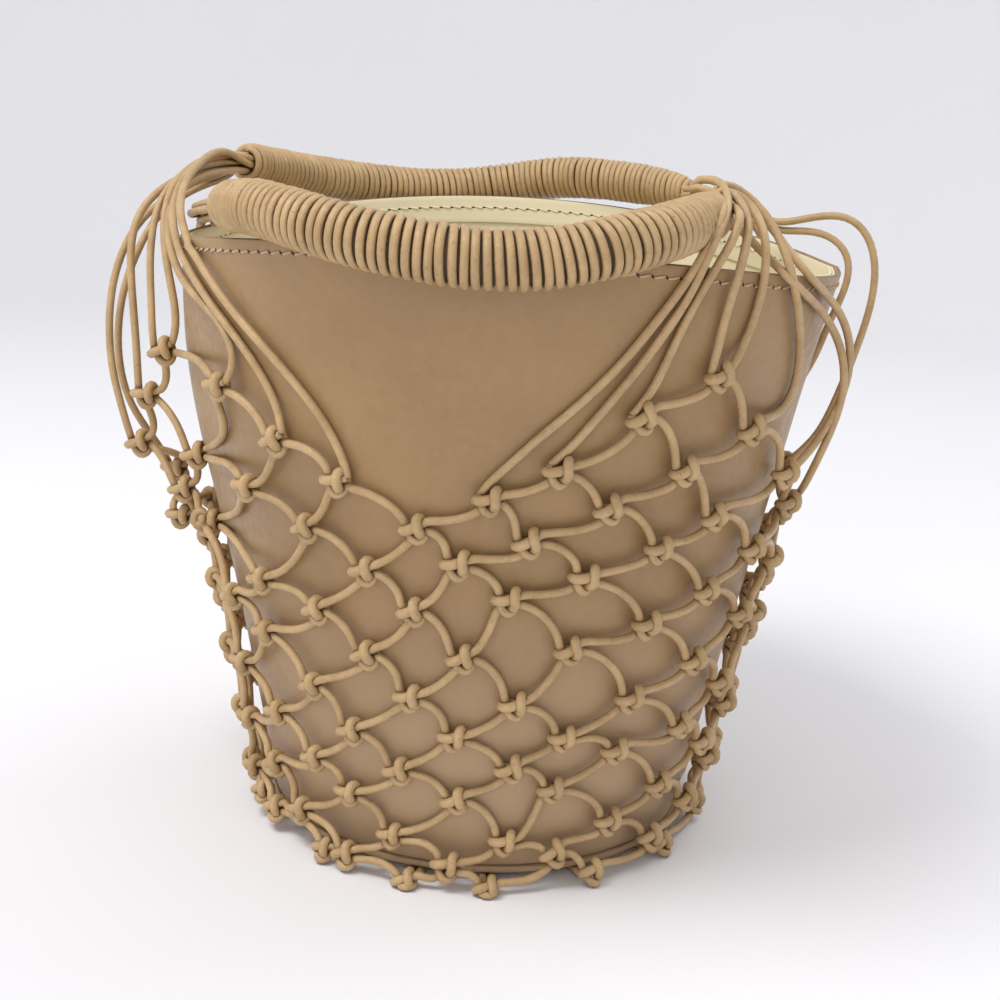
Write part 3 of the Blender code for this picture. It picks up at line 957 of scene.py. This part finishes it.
@dataclass
class KnottedNet:
    """The net: rings of knots joined by two strands a knot, from four peaks down to the floor.

    A knot's key is its row, counted down from the bottoms of the V, and its half column. The pixel tables
    count columns to the left of the front as negative. A knot that hangs off the wall also has its depth.
    The paths of a knot's two strands have steps across, up and out, in cord diameters.
    """

    bucket: Bucket
    camera: PhotoCamera
    cord: float = 0.0031
    half_columns: int = 32
    rows: int = 10
    peak_rows: int = 4
    v_height: float = 0.1472
    pitch: float = 0.0154
    side_drop: float = 0.0150
    floor_level: float = 0.0052
    foot_radius: float = 0.0890
    front_foot: float = 0.0055
    foot_top: float = 0.0200
    side_standoff: float = 0.0045
    knot_off: float = 0.0037
    cord_off: float = 0.0022
    floor_lifts: dict = field(default_factory=lambda: {0: 0.5, 1: 0.3, 2: 0.0})
    column_marks: tuple = ((-4, -62), (0, -9), (4, 35.5), (6, 69), (28, 298), (32, 351))
    seed: int = 11
    knot_steps: dict = field(default_factory=lambda: {Side.LEFT: 30, Side.RIGHT: 21})
    bows: dict = field(default_factory=lambda: {Side.LEFT: 15, Side.RIGHT: 27})
    loose_bows: dict = field(default_factory=lambda: {Side.LEFT: 32, Side.RIGHT: 12})
    bow_range: tuple[float, float] = (-6, 7)
    end_bow: float = 1.1
    bow_shares: tuple[float, float] = (0.8, 0.2)
    pull_in: float = 0.8
    clear_step: float = 0.0005
    clear_steps: int = 60
    shift_angle: float = 1.1
    shift_height: float = 0.0016
    spin_range: tuple[float, float] = (-12, 14)
    size_range: tuple[float, float] = (0.98, 1.10)
    foot_knot_size: float = 0.88
    square_angle: float = 40
    square_share: float = 0.35
    loose_share: float = 0.2
    cut_end: int = 5
    hub: float = 0.016
    hub_entry: float = 0.006
    star_angles: tuple[float, float] = (1.1, 2.6)
    front_plump: float = 1.18
    edge_points: int = 10
    on_wall: dict = field(default_factory=lambda: {
        -4: {4: (722, 375)},
        -3: {-3: (218, 384), 3: (645, 416), 5: (754, 428)},
        -2: {-2: (275, 439), 2: (563, 470), 4: (687, 469), 6: (787, 472)},
        -1: {-3: (247, 485), -1: (338, 480), 1: (492, 499), 3: (612, 507), 5: (716, 515), 7: (792, 502)},
        0: {-2: (306, 526), 0: (417, 527), 2: (531, 541), 4: (661, 548), 6: (754, 547)},
        1: {-3: (262, 578), -1: (366, 569), 1: (460, 563), 3: (588, 577), 5: (708, 589)},
        2: {-4: (233, 594), -2: (317, 608), 0: (414, 610), 2: (511, 599), 4: (649, 623), 6: (741, 612)},
        3: {-3: (266, 630), -1: (367, 653), 1: (464, 657), 3: (572, 649), 5: (695, 659)},
        4: {-4: (244, 660), -2: (313, 684), 0: (411, 696), 2: (517, 704), 4: (632, 697), 6: (721, 680)},
        5: {-3: (278, 710), -1: (353, 729), 1: (456, 737), 3: (565, 737), 5: (682, 723), 7: (733, 703)},
        6: {-4: (250, 715), -2: (315, 756), 0: (400, 769), 2: (513, 767), 4: (617, 749), 6: (703, 739)},
        7: {-3: (276, 761), -1: (351, 791), 1: (457, 799), 3: (554, 788), 5: (660, 782), 7: (715, 756)},
        8: {-4: (256, 764), -2: (302, 808), 0: (393, 834), 2: (506, 841), 4: (610, 819), 6: (686, 795)},
        9: {-3: (277, 806), -1: (347, 853), 1: (449, 865), 3: (555, 851), 5: (651, 835), 7: (701, 800)},
        10: {-4: (264, 789), -2: (325, 848), 0: (407, 880), 2: (489, 888), 4: (593, 870), 6: (662, 841)}})
    off_wall: dict = field(default_factory=lambda: {
        (-4, -4): (164, 349, -0.035), (-3, -5): (148, 393, -0.022), (-2, -6): (141, 441, -0.010),
        (-2, -4): (197, 453, -0.032), (-1, -5): (184, 487, -0.022), (-1, -7): (177, 466, 0.004),
        (0, -4): (211, 521, -0.034), (0, -6): (182, 514, -0.016)})
    facing: dict = field(default_factory=dict)
    turned: dict = field(default_factory=dict)
    strand_from_left: tuple = (
        (-1.45, 0.75, -0.20), (-1.22, 0.10, -0.25), (-1.02, -0.70, -0.05),
        (-0.68, -1.35, 0.20), (-0.10, -1.72, 0.28), (0.42, -1.62, 0.0), (0.74, -1.00, -0.45),
        (0.78, -0.10, -0.65), (0.60, 0.80, -0.45), (0.34, 1.25, 0.10), (0.20, 0.98, 0.68),
        (0.30, 0.30, 0.98), (0.46, -0.35, 0.88), (0.38, -0.80, 0.40), (0.0, -1.05, -0.20),
        (-0.60, -1.30, -0.62), (-1.20, -1.85, -0.45))
    strand_from_right: tuple = (
        (1.45, 0.66, -0.10), (0.80, 0.48, 0.05), (0.10, 0.25, 0.40),
        (-0.60, 0.05, 0.66), (-1.25, -0.15, 0.64), (-1.75, -0.32, 0.25), (-1.80, -0.38, -0.25),
        (-1.25, -0.38, -0.62), (-0.40, -0.35, -0.68), (0.45, -0.42, -0.40), (1.25, -0.62, -0.15))
    places: dict = field(default_factory=dict)

    def column_angle(self, column: float) -> float:
        """Angle of a half column; the diamonds in front are wider than those behind."""
        column = (column + 4) % self.half_columns - 4
        for (c0, a0), (c1, a1) in zip(self.column_marks, self.column_marks[1:]):
            if column <= c1:
                return a0 + (a1 - a0) * (column - c0) / (c1 - c0)
        return self.column_marks[-1][1]

    def surface(self, angle: float, height: float) -> float:
        """Radius of what the net lies on: the wall, and near the floor the flare of its own slack."""
        side = self.side_standoff * math.sin(math.radians(angle)) ** 2
        wall = self.bucket.radius(angle, max(height, self.bucket.bottom)) + side
        flare = (self.foot_top - height) / (self.foot_top - self.floor_level)
        if flare <= 0:
            return wall
        base = self.bucket.radius(angle, self.foot_top) + side
        foot = self.foot_radius + self.front_foot * max(math.cos(math.radians(angle)), 0) ** 2
        return max(wall, base + (foot - base) * min(flare, 1) ** 1.3)

    def lies(self, point: Vector, out: float) -> Vector:
        """The same point moved in or out so that it is that far off what the net lies on."""
        angle = angle_of(point)
        height = max(point.z, self.floor_level * 0.6)
        return around(angle, self.surface(angle, height) + out, height)

    def level(self, row: int, angle: float) -> float:
        """Height of a row of knots."""
        top = self.v_height - self.side_drop * math.sin(math.radians(angle)) ** 2
        if row <= 0:
            return top - row * self.pitch
        return self.floor_level + (top - self.floor_level) * (1 - row / self.rows)

    def keys(self) -> list[tuple[int, int]]:
        """All (row, column) knots: four peaks above the V bottoms, then full rings."""
        knots = set()
        for peak in range(self.peak_rows, self.half_columns, 2 * self.peak_rows):
            for row in range(-self.peak_rows, 0):
                reach = row + self.peak_rows
                for column in range(peak - reach, peak + reach + 1, 2):
                    knots.add((row, column % self.half_columns))
        for row in range(self.rows + 1):
            for column in range(row % 2, self.half_columns, 2):
                knots.add((row, column))
        return sorted(knots)

    def place_knots(self) -> None:
        """Finds each knot's place: by its pixel where the photograph shows it, by the rows elsewhere."""
        draw = random.Random(self.seed)
        for row, column in self.keys():
            signed = column if column < self.half_columns / 2 else column - self.half_columns
            shift = (draw.uniform(-1, 1) * self.shift_angle, draw.uniform(-1, 1) * self.shift_height)
            if signed in self.on_wall.get(row, {}):
                spot = self.camera.on_surface(
                    self.on_wall[row][signed],
                    lambda p: math.hypot(p.x, p.y) - self.surface(angle_of(p), p.z) - self.knot_off)
                spot = self.lies(spot, self.knot_off)
                towards = angle_of(self.camera.place - spot)
                aside = turn_between(angle_of(spot), towards)
                if abs(aside) > self.square_angle:
                    turn = self.square_angle + (abs(aside) - self.square_angle) * self.square_share
                    self.turned[(row, column)] = towards + math.copysign(turn, aside)
            elif (row, signed) in self.off_wall:
                x, y, depth = self.off_wall[(row, signed)]
                spot = self.camera.on_plane((x, y), depth)
                towards = angle_of(self.camera.place - spot)
                aside = turn_between(angle_of(spot), towards)
                self.facing[(row, column)] = towards + aside * self.loose_share
            else:
                angle = self.column_angle(column) + shift[0]
                height = self.level(row, angle) + (shift[1] if row < self.rows else 0)
                spot = around(angle, self.surface(angle, height) + self.knot_off, height)
            self.places[(row, column)] = spot

    def axes_at(self, key: tuple[int, int]) -> tuple[Vector, Vector, Vector]:
        """Right, up and out directions of a knot, as seen from outside the bag."""
        spot = self.places[key]
        angle = self.facing.get(key, self.turned.get(key, angle_of(spot)))
        right = around(angle + 90, 1, 0)
        slope = (self.bucket.mouth_radius - self.bucket.base_radius) / self.bucket.height
        lift = self.floor_lifts.get(self.rows - key[0], -slope)
        out = (around(angle, 1, 0) + UP * lift).normalized()
        up = out.cross(right)
        return right, up, out

    def knot_strand(self, key: tuple[int, int], side: Side, count: int) -> list[Vector]:
        """The points of one strand through a knot.

        Args:
            key: The knot's row and column.
            side: The upper side that the strand enters from.
            count: How many points.

        Returns:
            The points, from the strand's entry to its way out below.
        """
        draw = random.Random(f"{key}")
        right, up, out = self.axes_at(key)
        spin = math.radians(draw.uniform(*self.spin_range))
        size = self.cord * draw.uniform(*self.size_range)
        size *= self.foot_knot_size if key[0] == self.rows else 1
        rows = self.strand_from_left if side is Side.LEFT else self.strand_from_right
        if key in self.facing and side is Side.LEFT:
            rows = rows[:-1]
        points = []
        for across, rise, depth in rows:
            turned = across * math.cos(spin) - rise * math.sin(spin)
            risen = across * math.sin(spin) + rise * math.cos(spin)
            points.append(self.places[key] + (right * turned + up * risen + out * depth) * size)
        return self.above_floor(even_points(catmull_rom(points, 4), count))

    def above_floor(self, points: list[Vector]) -> list[Vector]:
        """The same points, none of them lower than a cord that lies on the floor."""
        low = self.cord / 2 + TOUCH
        return [Vector((point.x, point.y, max(point.z, low))) for point in points]

    def edge(self, start: list[Vector], end: list[Vector], side: Side, draw: random.Random, loose: bool
             ) -> list[Vector]:
        """The free stretch between two knots: its stiffness bows it, and it lies on the wall.

        Args:
            start: Points of the strand through the upper knot.
            end: Points of the strand through the lower knot.
            side: The side on which the strand leaves the upper knot.
            draw: Random numbers, for slightly uneven bows.
            loose: Whether it hangs off the wall.

        Returns:
            The points between the two knots.
        """
        chord = end[0] - start[-1]
        middle = (start[-1] + end[0]) / 2
        seen = angle_of(self.camera.place - middle) if loose else angle_of(middle)
        outward = around(seen, 1, 0)
        bows = self.loose_bows if loose else self.bows
        bow = math.radians(bows[side] + draw.uniform(*self.bow_range))
        bowed, straight = self.bow_shares
        reach = chord.length
        leave = Matrix.Rotation(bow, 3, outward) @ chord
        leave = leave * bowed + (start[-1] - start[-2]).normalized() * reach * straight
        arrive = Matrix.Rotation(-bow * self.end_bow, 3, outward) @ chord
        arrive = arrive * bowed + (end[1] - end[0]).normalized() * reach * straight
        free = hermite(start[-1], leave, end[0], arrive, self.edge_points)
        if loose:
            free = self.bucket.off_the_wall([self.before_wall(point) for point in free])
        else:
            count = self.edge_points
            pulls = [self.pull_in * math.sin(math.pi * (i + 1) / (count + 1)) for i in range(count)]
            free = [point.lerp(self.lies(point, self.cord_off), pull) for point, pull in zip(free, pulls)]
        return self.above_floor(free)

    def before_wall(self, point: Vector) -> Vector:
        """The same point, moved towards the camera until it is clear of the leather."""
        step = (self.camera.place - point).normalized() * self.clear_step
        for _ in range(self.clear_steps):
            wall = self.bucket.radius(angle_of(point), point.z)
            if math.hypot(point.x, point.y) >= wall + self.cord_off:
                break
            point = point + step
        return point

    def strand(self, key: tuple[int, int], side: Side, draw: random.Random) -> CordLine:
        """One strand, from the top knot that it enters first down to the lowest row.

        Args:
            key: The top knot.
            side: The side on which the strand enters it.
            draw: Random numbers, for slightly uneven bows.

        Returns:
            The strand, a little plumper where it wraps round the front of a knot.
        """
        points = self.knot_strand(key, side, self.knot_steps[side])[1:]
        radii = self.knot_radii(side)[1:]
        while True:
            # A strand leaves a knot on the side that it came from, and enters the next from the other.
            after = (key[0] + 1, (key[1] + side.value) % self.half_columns)
            if after not in self.places:
                points, radii = points[:-self.cut_end], radii[:-self.cut_end]
                break
            entered = Side.RIGHT if side is Side.LEFT else Side.LEFT
            through = self.knot_strand(after, entered, self.knot_steps[entered])
            loose = key in self.facing or after in self.facing
            free = self.edge(points, through, side, draw, loose)
            points += free + through
            radii += [self.cord / 2] * len(free) + self.knot_radii(entered)
            key, side = after, entered
        return CordLine(relaxed(points, 1), radii)

    def knot_radii(self, side: Side) -> list[float]:
        """Radii of a strand through a knot."""
        rows = self.strand_from_left if side is Side.LEFT else self.strand_from_right
        depths = even_points([Vector((0, 0, row[2])) + Vector((i, 0, 0)) for i, row in enumerate(rows)],
                             self.knot_steps[side])
        swell = self.front_plump - 1
        return [self.cord / 2 * (1 + swell * min(max(depth.z * 2, 0), 1)) for depth in depths]

    def strands(self) -> tuple[list[CordLine], list[CordLine]]:
        """The strands of the front half and of the back half."""
        front, back = [], []
        draw = random.Random(self.seed + 1)
        for key in sorted(self.places):
            for side in Side:
                if (key[0] - 1, (key[1] + side.value) % self.half_columns) not in self.places:
                    half = front if self.places[key].y < 0 else back
                    half.append(self.strand(key, side, draw))
        return front, back

    def build_sole_star(self) -> None:
        """The cords from the lowest knots, gathered in a ring under the sole."""
        lines = []
        low = self.cord / 2 + TOUCH
        outer_turn, inner_turn = self.star_angles
        base = self.bucket.base_radius
        for column in range(self.rows % 2, self.half_columns, 2):
            middle = angle_of(self.places[(self.rows, column)])
            for side in Side:
                points = [around(middle + side.value * outer_turn, radius, low)
                          for radius in (self.foot_radius + 0.001, base, base * 0.6)]
                points += [around(middle + side.value * inner_turn, radius, low)
                           for radius in (self.hub + self.hub_entry, self.hub)]
                points = smooth_line(points, 0.006)
                lines.append(CordLine(points, [self.cord / 2] * len(points)))
        for ring_number in range(4):
            reach = self.hub - ring_number * self.cord
            ring = [around(15 * i, reach, low) for i in range(25)]
            lines.append(CordLine(ring, [self.cord / 2] * len(ring)))
        add_piece("sole_star", cord_mesh("sole_star", lines), [Finish.CORD], ["net_base"])

    def build(self) -> None:
        """Builds the net and the star of cords under the sole."""
        self.place_knots()
        for name, lines in zip(("net_front", "net_back"), self.strands()):
            add_piece(name, cord_mesh(name, lines), [Finish.CORD], ["net"])
        self.build_sole_star()


# Fans of cords


@dataclass
class Fan:
    """The eight cords from a handle's end to one peak of the net.

    crossing holds the angles where the first and the last cord pass over the rim. Each row of over is a
    bend before that, as (angle, outward, upward) from the rim edge in handle diameters, for the first cord
    and then for the last. The outermost cords bow out from the wall by bulge, in cord diameters at the
    first and the last cord, and clear the rim by loft, in handle diameters at the last cord. The cords in
    seen follow their pixels, each with the depth of its upright plane in millimetres, or on the wall. Those
    in loops are seen from their start.
    """

    name: str
    handle: Handle
    at_start: bool
    peak: int
    crossing: tuple
    over: tuple
    bulge: tuple
    loft: float
    net: KnottedNet
    cords: int = 8
    slots: tuple = (
        (3.3, 0), (2.06, 2.58), (2.06, -2.58), (0, 0),
        (-0.73, 3.2), (-0.73, -3.2), (-2.97, 1.43), (-2.97, -1.43))
    layer_pitch: float = 0.0048
    rim_clearance: float = 0.0020
    wall_clearance: float = 0.0024
    bow_power: float = 3.4
    exit_reach: float = 0.4
    inside_reach: float = 0.012
    entry_points: int = 22
    path_step: float = 0.004
    path_passes: int = 10
    wall_steps: tuple = (0.33, 0.67, 0.88)
    droop_angle: float = 75
    seen_layer: float = 0.9
    seen_gap: float = 0.0004
    seen: dict = field(default_factory=dict)
    loops: tuple = ()

    def targets(self) -> list[tuple[int, int, Side]]:
        """Knots of the cords, in the cords' order, with the side that each cord enters from."""
        rows = self.net.peak_rows
        rise = [(row, self.peak - rows - row, Side.LEFT) for row in range(-1, -rows - 1, -1)]
        fall = [(row, self.peak + rows + row, Side.RIGHT) for row in range(-rows, 0)]
        forward = self.crossing[0] < self.crossing[1]
        return rise + fall if forward else (rise + fall)[::-1]

    def slot(self, number: int, along: Vector) -> tuple[Vector, Vector]:
        """Sideways and upward place of a cord in the handle's end."""
        up = (UP - along * along.z).normalized()
        across = along.cross(up).normalized()
        if across.dot(around(self.crossing[0], 1, 0)) < 0:
            across = -across
        aside, above = self.slots[number]
        return across * aside / 1000, up * above / 1000

    def start_points(self, number: int) -> list[Vector]:
        """The points of a cord from its handle's end to past the rim."""
        line = self.handle.line()
        end, before = (line[0], line[1]) if self.at_start else (line[-1], line[-2])
        along = (end - before).normalized()
        across, stagger = self.slot(number, along)
        share = number / (self.cords - 1)
        size = self.handle.diameter
        exits = (-self.inside_reach, size * self.exit_reach * 0.04, size * self.exit_reach)
        points = [end + across + stagger + along * reach for reach in exits]
        for first, last in self.over:
            angle, outward, upward = (a + (b - a) * share for a, b in zip(first, last))
            points.append(self.net.bucket.from_rim(angle, outward * size, upward * size) + stagger)
        crossing = self.crossing[0] + (self.crossing[1] - self.crossing[0]) * share
        clear = self.net.cord / 2 + self.rim_clearance + number % 2 * self.layer_pitch
        low = self.net.cord / 4
        loft = self.loft * size * share ** self.bow_power
        points.append(self.net.bucket.from_rim(crossing, -low + loft * 0.3, clear + loft))
        points.append(self.net.bucket.from_rim(crossing, clear + loft * 0.85, -low + loft * 0.45))
        return points

    def seen_points(self, number: int) -> list[Vector]:
        """The points of a cord in seen. Every second one lies on top of its neighbours near the rim."""
        camera, bucket = self.net.camera, self.net.bucket
        points = []
        spots = self.seen[number]
        for i, spot in enumerate(spots):
            upper = number % 2 * self.net.cord * self.seen_layer * (1 - i / (len(spots) - 1))
            stand = self.net.cord / 2 + self.seen_gap + upper
            if len(spot) == 3:
                points.append(camera.on_plane(spot[:2], spot[2] / 1000))
            else:
                points.append(camera.on_surface(
                    spot, lambda p: math.hypot(p.x, p.y) - bucket.radius(angle_of(p), p.z) - stand))
        return points

    def line(self, number: int) -> CordLine:
        """The whole line of one cord, into its knot."""
        row, column, side = self.targets()[number]
        key = (row, column % self.net.half_columns)
        entry = self.net.knot_strand(key, side, self.entry_points)[:2]
        points = self.start_points(number)
        if number in self.seen:
            kept = 0 if number in self.loops else 2
            points = points[:kept] + self.seen_points(number)
        else:
            points += self.guessed_points(number, points[-1], entry[0])
        path = relaxed(smooth_line(points + entry, self.path_step), self.path_passes)
        path = self.net.bucket.off_the_wall(path)
        return CordLine(path, [self.net.cord / 2] * len(path))

    def guessed_points(self, number: int, start: Vector, stop: Vector) -> list[Vector]:
        """The points of a cord down the wall.

        Args:
            number: The cord.
            start: Its place past the rim.
            stop: Its entry into the knot.

        Returns:
            The points between the two.
        """
        points = []
        share = number / (self.cords - 1)
        crossing = self.crossing[0] + (self.crossing[1] - self.crossing[0]) * share
        turn = turn_between(angle_of(stop), crossing)
        droop = 1 + abs(turn) / self.droop_angle
        first, last = self.bulge
        near, far = (first, share) if first < last else (last, 1 - share)
        out = (near + (max(self.bulge) - near) * far ** self.bow_power) * self.net.cord
        layer = number % 2 * self.layer_pitch
        for step in self.wall_steps:
            angle = crossing + turn * step
            height = start.z + (stop.z - start.z) * step ** droop
            stand = self.net.cord / 2 + self.wall_clearance + layer * (1 - step)
            stand += out * math.sin(math.pi * step)
            points.append(self.net.bucket.point(angle, height, stand))
        return points

    def build(self) -> None:
        """Builds the cords, each in place of its CAD node."""
        for number in range(self.cords):
            node = f"{self.name}_cord_{number + 1}"
            name = f"{self.name}_strand_{number + 1}"
            add_piece(name, cord_mesh(name, [self.line(number)]), [Finish.CORD], [node])


FRONT_LEFT_SEEN = {
    0: ((230, 178, 52), (212, 182, 42), (192, 190, 32), (172, 202, 24), (157, 215, 17), (142, 241, 10),
        (128, 273, 5), (119, 312, 2), (119, 365, 1), (130, 405, 2)),
    1: ((228, 174, 50), (210, 176, 38), (190, 184, 26), (170, 196, 14), (152, 208, 6), (137, 223, 0),
        (122, 251, -4), (111, 290, -7), (109, 335, -9), (115, 385, -10), (124, 412, -10)),
    2: ((226, 168, 46), (208, 170, 32), (190, 174, 18), (176, 179, 8), (165, 186, 1), (155, 193, -4),
        (143, 203, -8), (134, 220, -11), (130, 252, -15), (132, 292, -18), (136, 340, -20),
        (138, 370, -21)),
    3: ((226, 162, 44), (210, 163, 30), (194, 168, 16), (180, 175, 4), (171, 184, -3), (162, 196, -9),
        (155, 211, -15), (152, 229, -19), (150, 254, -24), (150, 285, -29), (153, 315, -32)),
    4: ((222, 157, 42), (207, 158, 26), (193, 165, 13), (182, 174, 2), (173, 184, -6), (166, 200, -14),
        (163, 224, -22), (165, 254, -28), (171, 285, -33), (176, 310, -35), (178, 326, -35)),
    5: ((228, 171, 40), (214, 172, 26), (198, 178, 13), (184, 186, 1), (174, 197, -9), (168, 212, -19),
        (167, 230, -29), (170, 249, -39), (177, 268, -51), (189, 289), (204, 304), (220, 322), (233, 343),
        (237, 362)),
    6: ((222, 152, 38), (210, 156, 22), (197, 165, 8), (185, 176, -5), (176, 192, -18), (172, 211, -31),
        (174, 232, -45), (181, 253, -60), (193, 276), (212, 306), (231, 330), (252, 360), (268, 384),
        (281, 416)),
    7: ((228, 151, 38), (216, 151, 24), (205, 158, 9), (194, 169, -7), (184, 184, -25), (180, 203, -43),
        (181, 222, -59), (189, 243, -70), (201, 265), (218, 292), (239, 319), (263, 346), (293, 381),
        (330, 430), (343, 458)),
}
FRONT_RIGHT_SEEN = {
    0: ((690, 190, -80), (706, 187, -80), (718, 191, -86), (723, 204, -94), (720, 222), (711, 244),
        (699, 264), (686, 284), (664, 312), (630, 355), (580, 405), (528, 447), (501, 474)),
    1: ((692, 188, -74), (700, 180, -74), (711, 176, -76), (723, 180, -82), (729, 191, -89),
        (728, 207, -96),
        (720, 230), (711, 250), (700, 276), (687, 301), (658, 343), (618, 395), (582, 435), (567, 455)),
    2: ((724, 198, -84), (735, 208, -90), (740, 224), (734, 243), (722, 259), (709, 278), (695, 303),
        (674, 345), (657, 385), (648, 404)),
    3: ((716, 180, -86), (736, 190, -86), (747, 212, -92), (748, 238), (742, 267), (731, 297), (722, 328),
        (717, 355)),
    4: ((722, 184, -80), (748, 198, -78), (762, 224, -86), (767, 249), (766, 276), (759, 307), (748, 336),
        (736, 360)),
    5: ((716, 176, -82), (748, 195, -76), (766, 213, -78), (779, 236, -82), (789, 262), (796, 292),
        (800, 330),
        (799, 368), (792, 398), (773, 418)),
    6: ((726, 190, -72), (756, 208, -66), (775, 232, -64), (790, 252, -66), (806, 272), (826, 294),
        (843, 318, -40), (852, 345, -36), (850, 375, -34), (836, 412, -34), (812, 448, -36)),
    7: ((728, 214, -78), (750, 240, -78), (768, 258, -80), (785, 274), (805, 294), (826, 317),
        (842, 348, -40),
        (846, 382, -36), (834, 425, -34), (812, 470, -32)),
}
BACK_RIGHT_SEEN = {
    7: ((705, 190, 62), (745, 208, 50), (778, 226, 40), (800, 219, 36), (826, 215, 33), (846, 214, 31),
        (861, 221, 30), (870, 236, 29), (876, 259, 28), (874, 292, 28), (866, 322, 28), (856, 350, 28),
        (845, 378, 27), (830, 412, 24), (814, 442, 20)),
    6: ((708, 196, 60), (745, 214, 50), (778, 233, 42), (798, 230, 38), (816, 230, 36), (835, 237, 34),
        (848, 248, 33), (851, 262, 32), (848, 282, 32), (840, 301, 32), (826, 328, 32), (816, 357, 32)),
}


def make_fans(net: KnottedNet, front: Handle, back: Handle) -> list[Fan]:
    """The four fans of cords."""
    return [
        Fan("front_left", back, True, -4, (-93, -72),
            (((-108, 0.34, 0.90), (-104, -0.72, 0.92)), ((-98, 0.04, 0.52), (-94, -1.15, 0.76))),
            (9.0, 0.5), 0, net, seen=FRONT_LEFT_SEEN),
        Fan("back_left", front, True, -12, (-97, -124),
            (((-64, -0.26, 0.46), (-62, -0.76, 0.44)), ((-86, -0.08, 0.30), (-99, -0.50, 0.34))),
            (1.0, 2.4), 0, net, exit_reach=-0.3),
        Fan("front_right", front, False, 4, (42, 80),
            (((52, -0.96, 1.12), (62, -2.10, 1.12)), ((48, -0.44, 0.84), (76, -1.00, 0.80))),
            (0.6, 2.0), 0, net, seen=FRONT_RIGHT_SEEN, loops=(0, 1)),
        Fan("back_right", back, False, 12, (150, 122),
            (((144, 0.0, 0.50), (138, -0.40, 0.50)), ((148, -0.05, 0.30), (130, -0.30, 0.30))),
            (0.8, 1.2), 0, net, seen=BACK_RIGHT_SEEN),
    ]


# Studio


@dataclass
class Studio:
    """A plain pale floor under soft light."""

    floor_radius: float = 2.4
    wall_height: float = 1.8
    corner: float = 0.9
    lights: tuple = (
        ("window", (-0.7, -0.5, 1.6), (0, 0, 0.12), 0.7, 17),
        ("fill", (0.9, 0.7, 1.7), (0.3, 0, 0), 1.2, 9),
        ("low", (-0.4, -1.7, 0.40), (0, 0, 0.05), 1.4, 5.4))
    sky_colour: tuple = (0.96, 0.97, 1.0, 1)
    sky_strength: float = 0.60

    def area(self, name: str, place: tuple, aim: tuple, size: float, power: float) -> None:
        """Adds a square soft light."""
        data = bpy.data.lights.new(name, "AREA")
        data.size = size
        data.energy = power
        light = bpy.data.objects.new(name, data)
        bpy.context.scene.collection.objects.link(light)
        light.location = place
        light.visible_camera = False
        light.rotation_mode = "QUATERNION"
        light.rotation_quaternion = (Vector(aim) - Vector(place)).to_track_quat("-Z", "Y")

    def build(self) -> None:
        """Builds the floor, the lights and the pale surroundings."""
        bm = bmesh.new()
        bmesh.ops.create_circle(bm, cap_ends=True, segments=96, radius=self.floor_radius)
        edge = [e for e in bm.edges if e.is_boundary]
        raised = bmesh.ops.extrude_edge_only(bm, edges=edge)["geom"]
        top = [item for item in raised if isinstance(item, bmesh.types.BMVert)]
        bmesh.ops.translate(bm, verts=top, vec=(0, 0, self.wall_height))
        corner = [e for e in bm.edges if all(abs(v.co.z) < 0.001 for v in e.verts)]
        bmesh.ops.bevel(bm, geom=corner, offset=self.corner, affect="EDGES", segments=16, profile=0.5,
                        material=-1)
        bmesh.ops.recalc_face_normals(bm, faces=bm.faces)
        bm.normal_update()
        if any(face.normal.z < -0.9 for face in bm.faces):
            bmesh.ops.reverse_faces(bm, faces=bm.faces)
        mesh = mesh_from(bm, "floor", recalc=False)
        mesh.materials.append(Finish.FLOOR.material())
        mesh.shade_smooth()
        floor = bpy.data.objects.new("floor", mesh)
        bpy.context.scene.collection.objects.link(floor)
        floor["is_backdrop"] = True
        for light in self.lights:
            self.area(*light)
        scene = bpy.context.scene
        scene.view_settings.view_transform = "Standard"
        world = bpy.data.worlds.new("pale_room")
        scene.world = world
        world.use_nodes = True
        sky = world.node_tree.nodes["Background"]
        sky.inputs["Color"].default_value = self.sky_colour
        sky.inputs["Strength"].default_value = self.sky_strength


def write_sizes() -> None:
    """Gathers the CAD's box and the visual model's box as lists of corners."""
    boxes = {"cad": CAD_BOX, "visual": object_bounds()}
    boxes = {name: [list(corner) for corner in box] for name, box in boxes.items()}


def main() -> None:
    """Builds the whole scene."""
    logging.basicConfig(level=logging.INFO, format="%(name)s %(message)s")
    camera = PhotoCamera()
    camera.build()
    bucket = Bucket()
    bucket.build()
    front = Handle("front_handle", bucket, FRONT_ROUTE, noses=((0.008, 0.0050), (0.004, 0.0080)),
                   trims=(0.0045, 0.0))
    back = Handle("back_handle", bucket, BACK_ROUTE, seed=5, middle_pitch=0.00320, end_pitch=0.00250,
                  noses=((0.004, 0.0072), (0.026, 0.0050)))
    front.build()
    back.build()
    net = KnottedNet(bucket, camera)
    net.build()
    for fan in make_fans(net, front, back):
        fan.build()
    Studio().build()
    write_sizes()


if __name__ == "__main__":
    main()
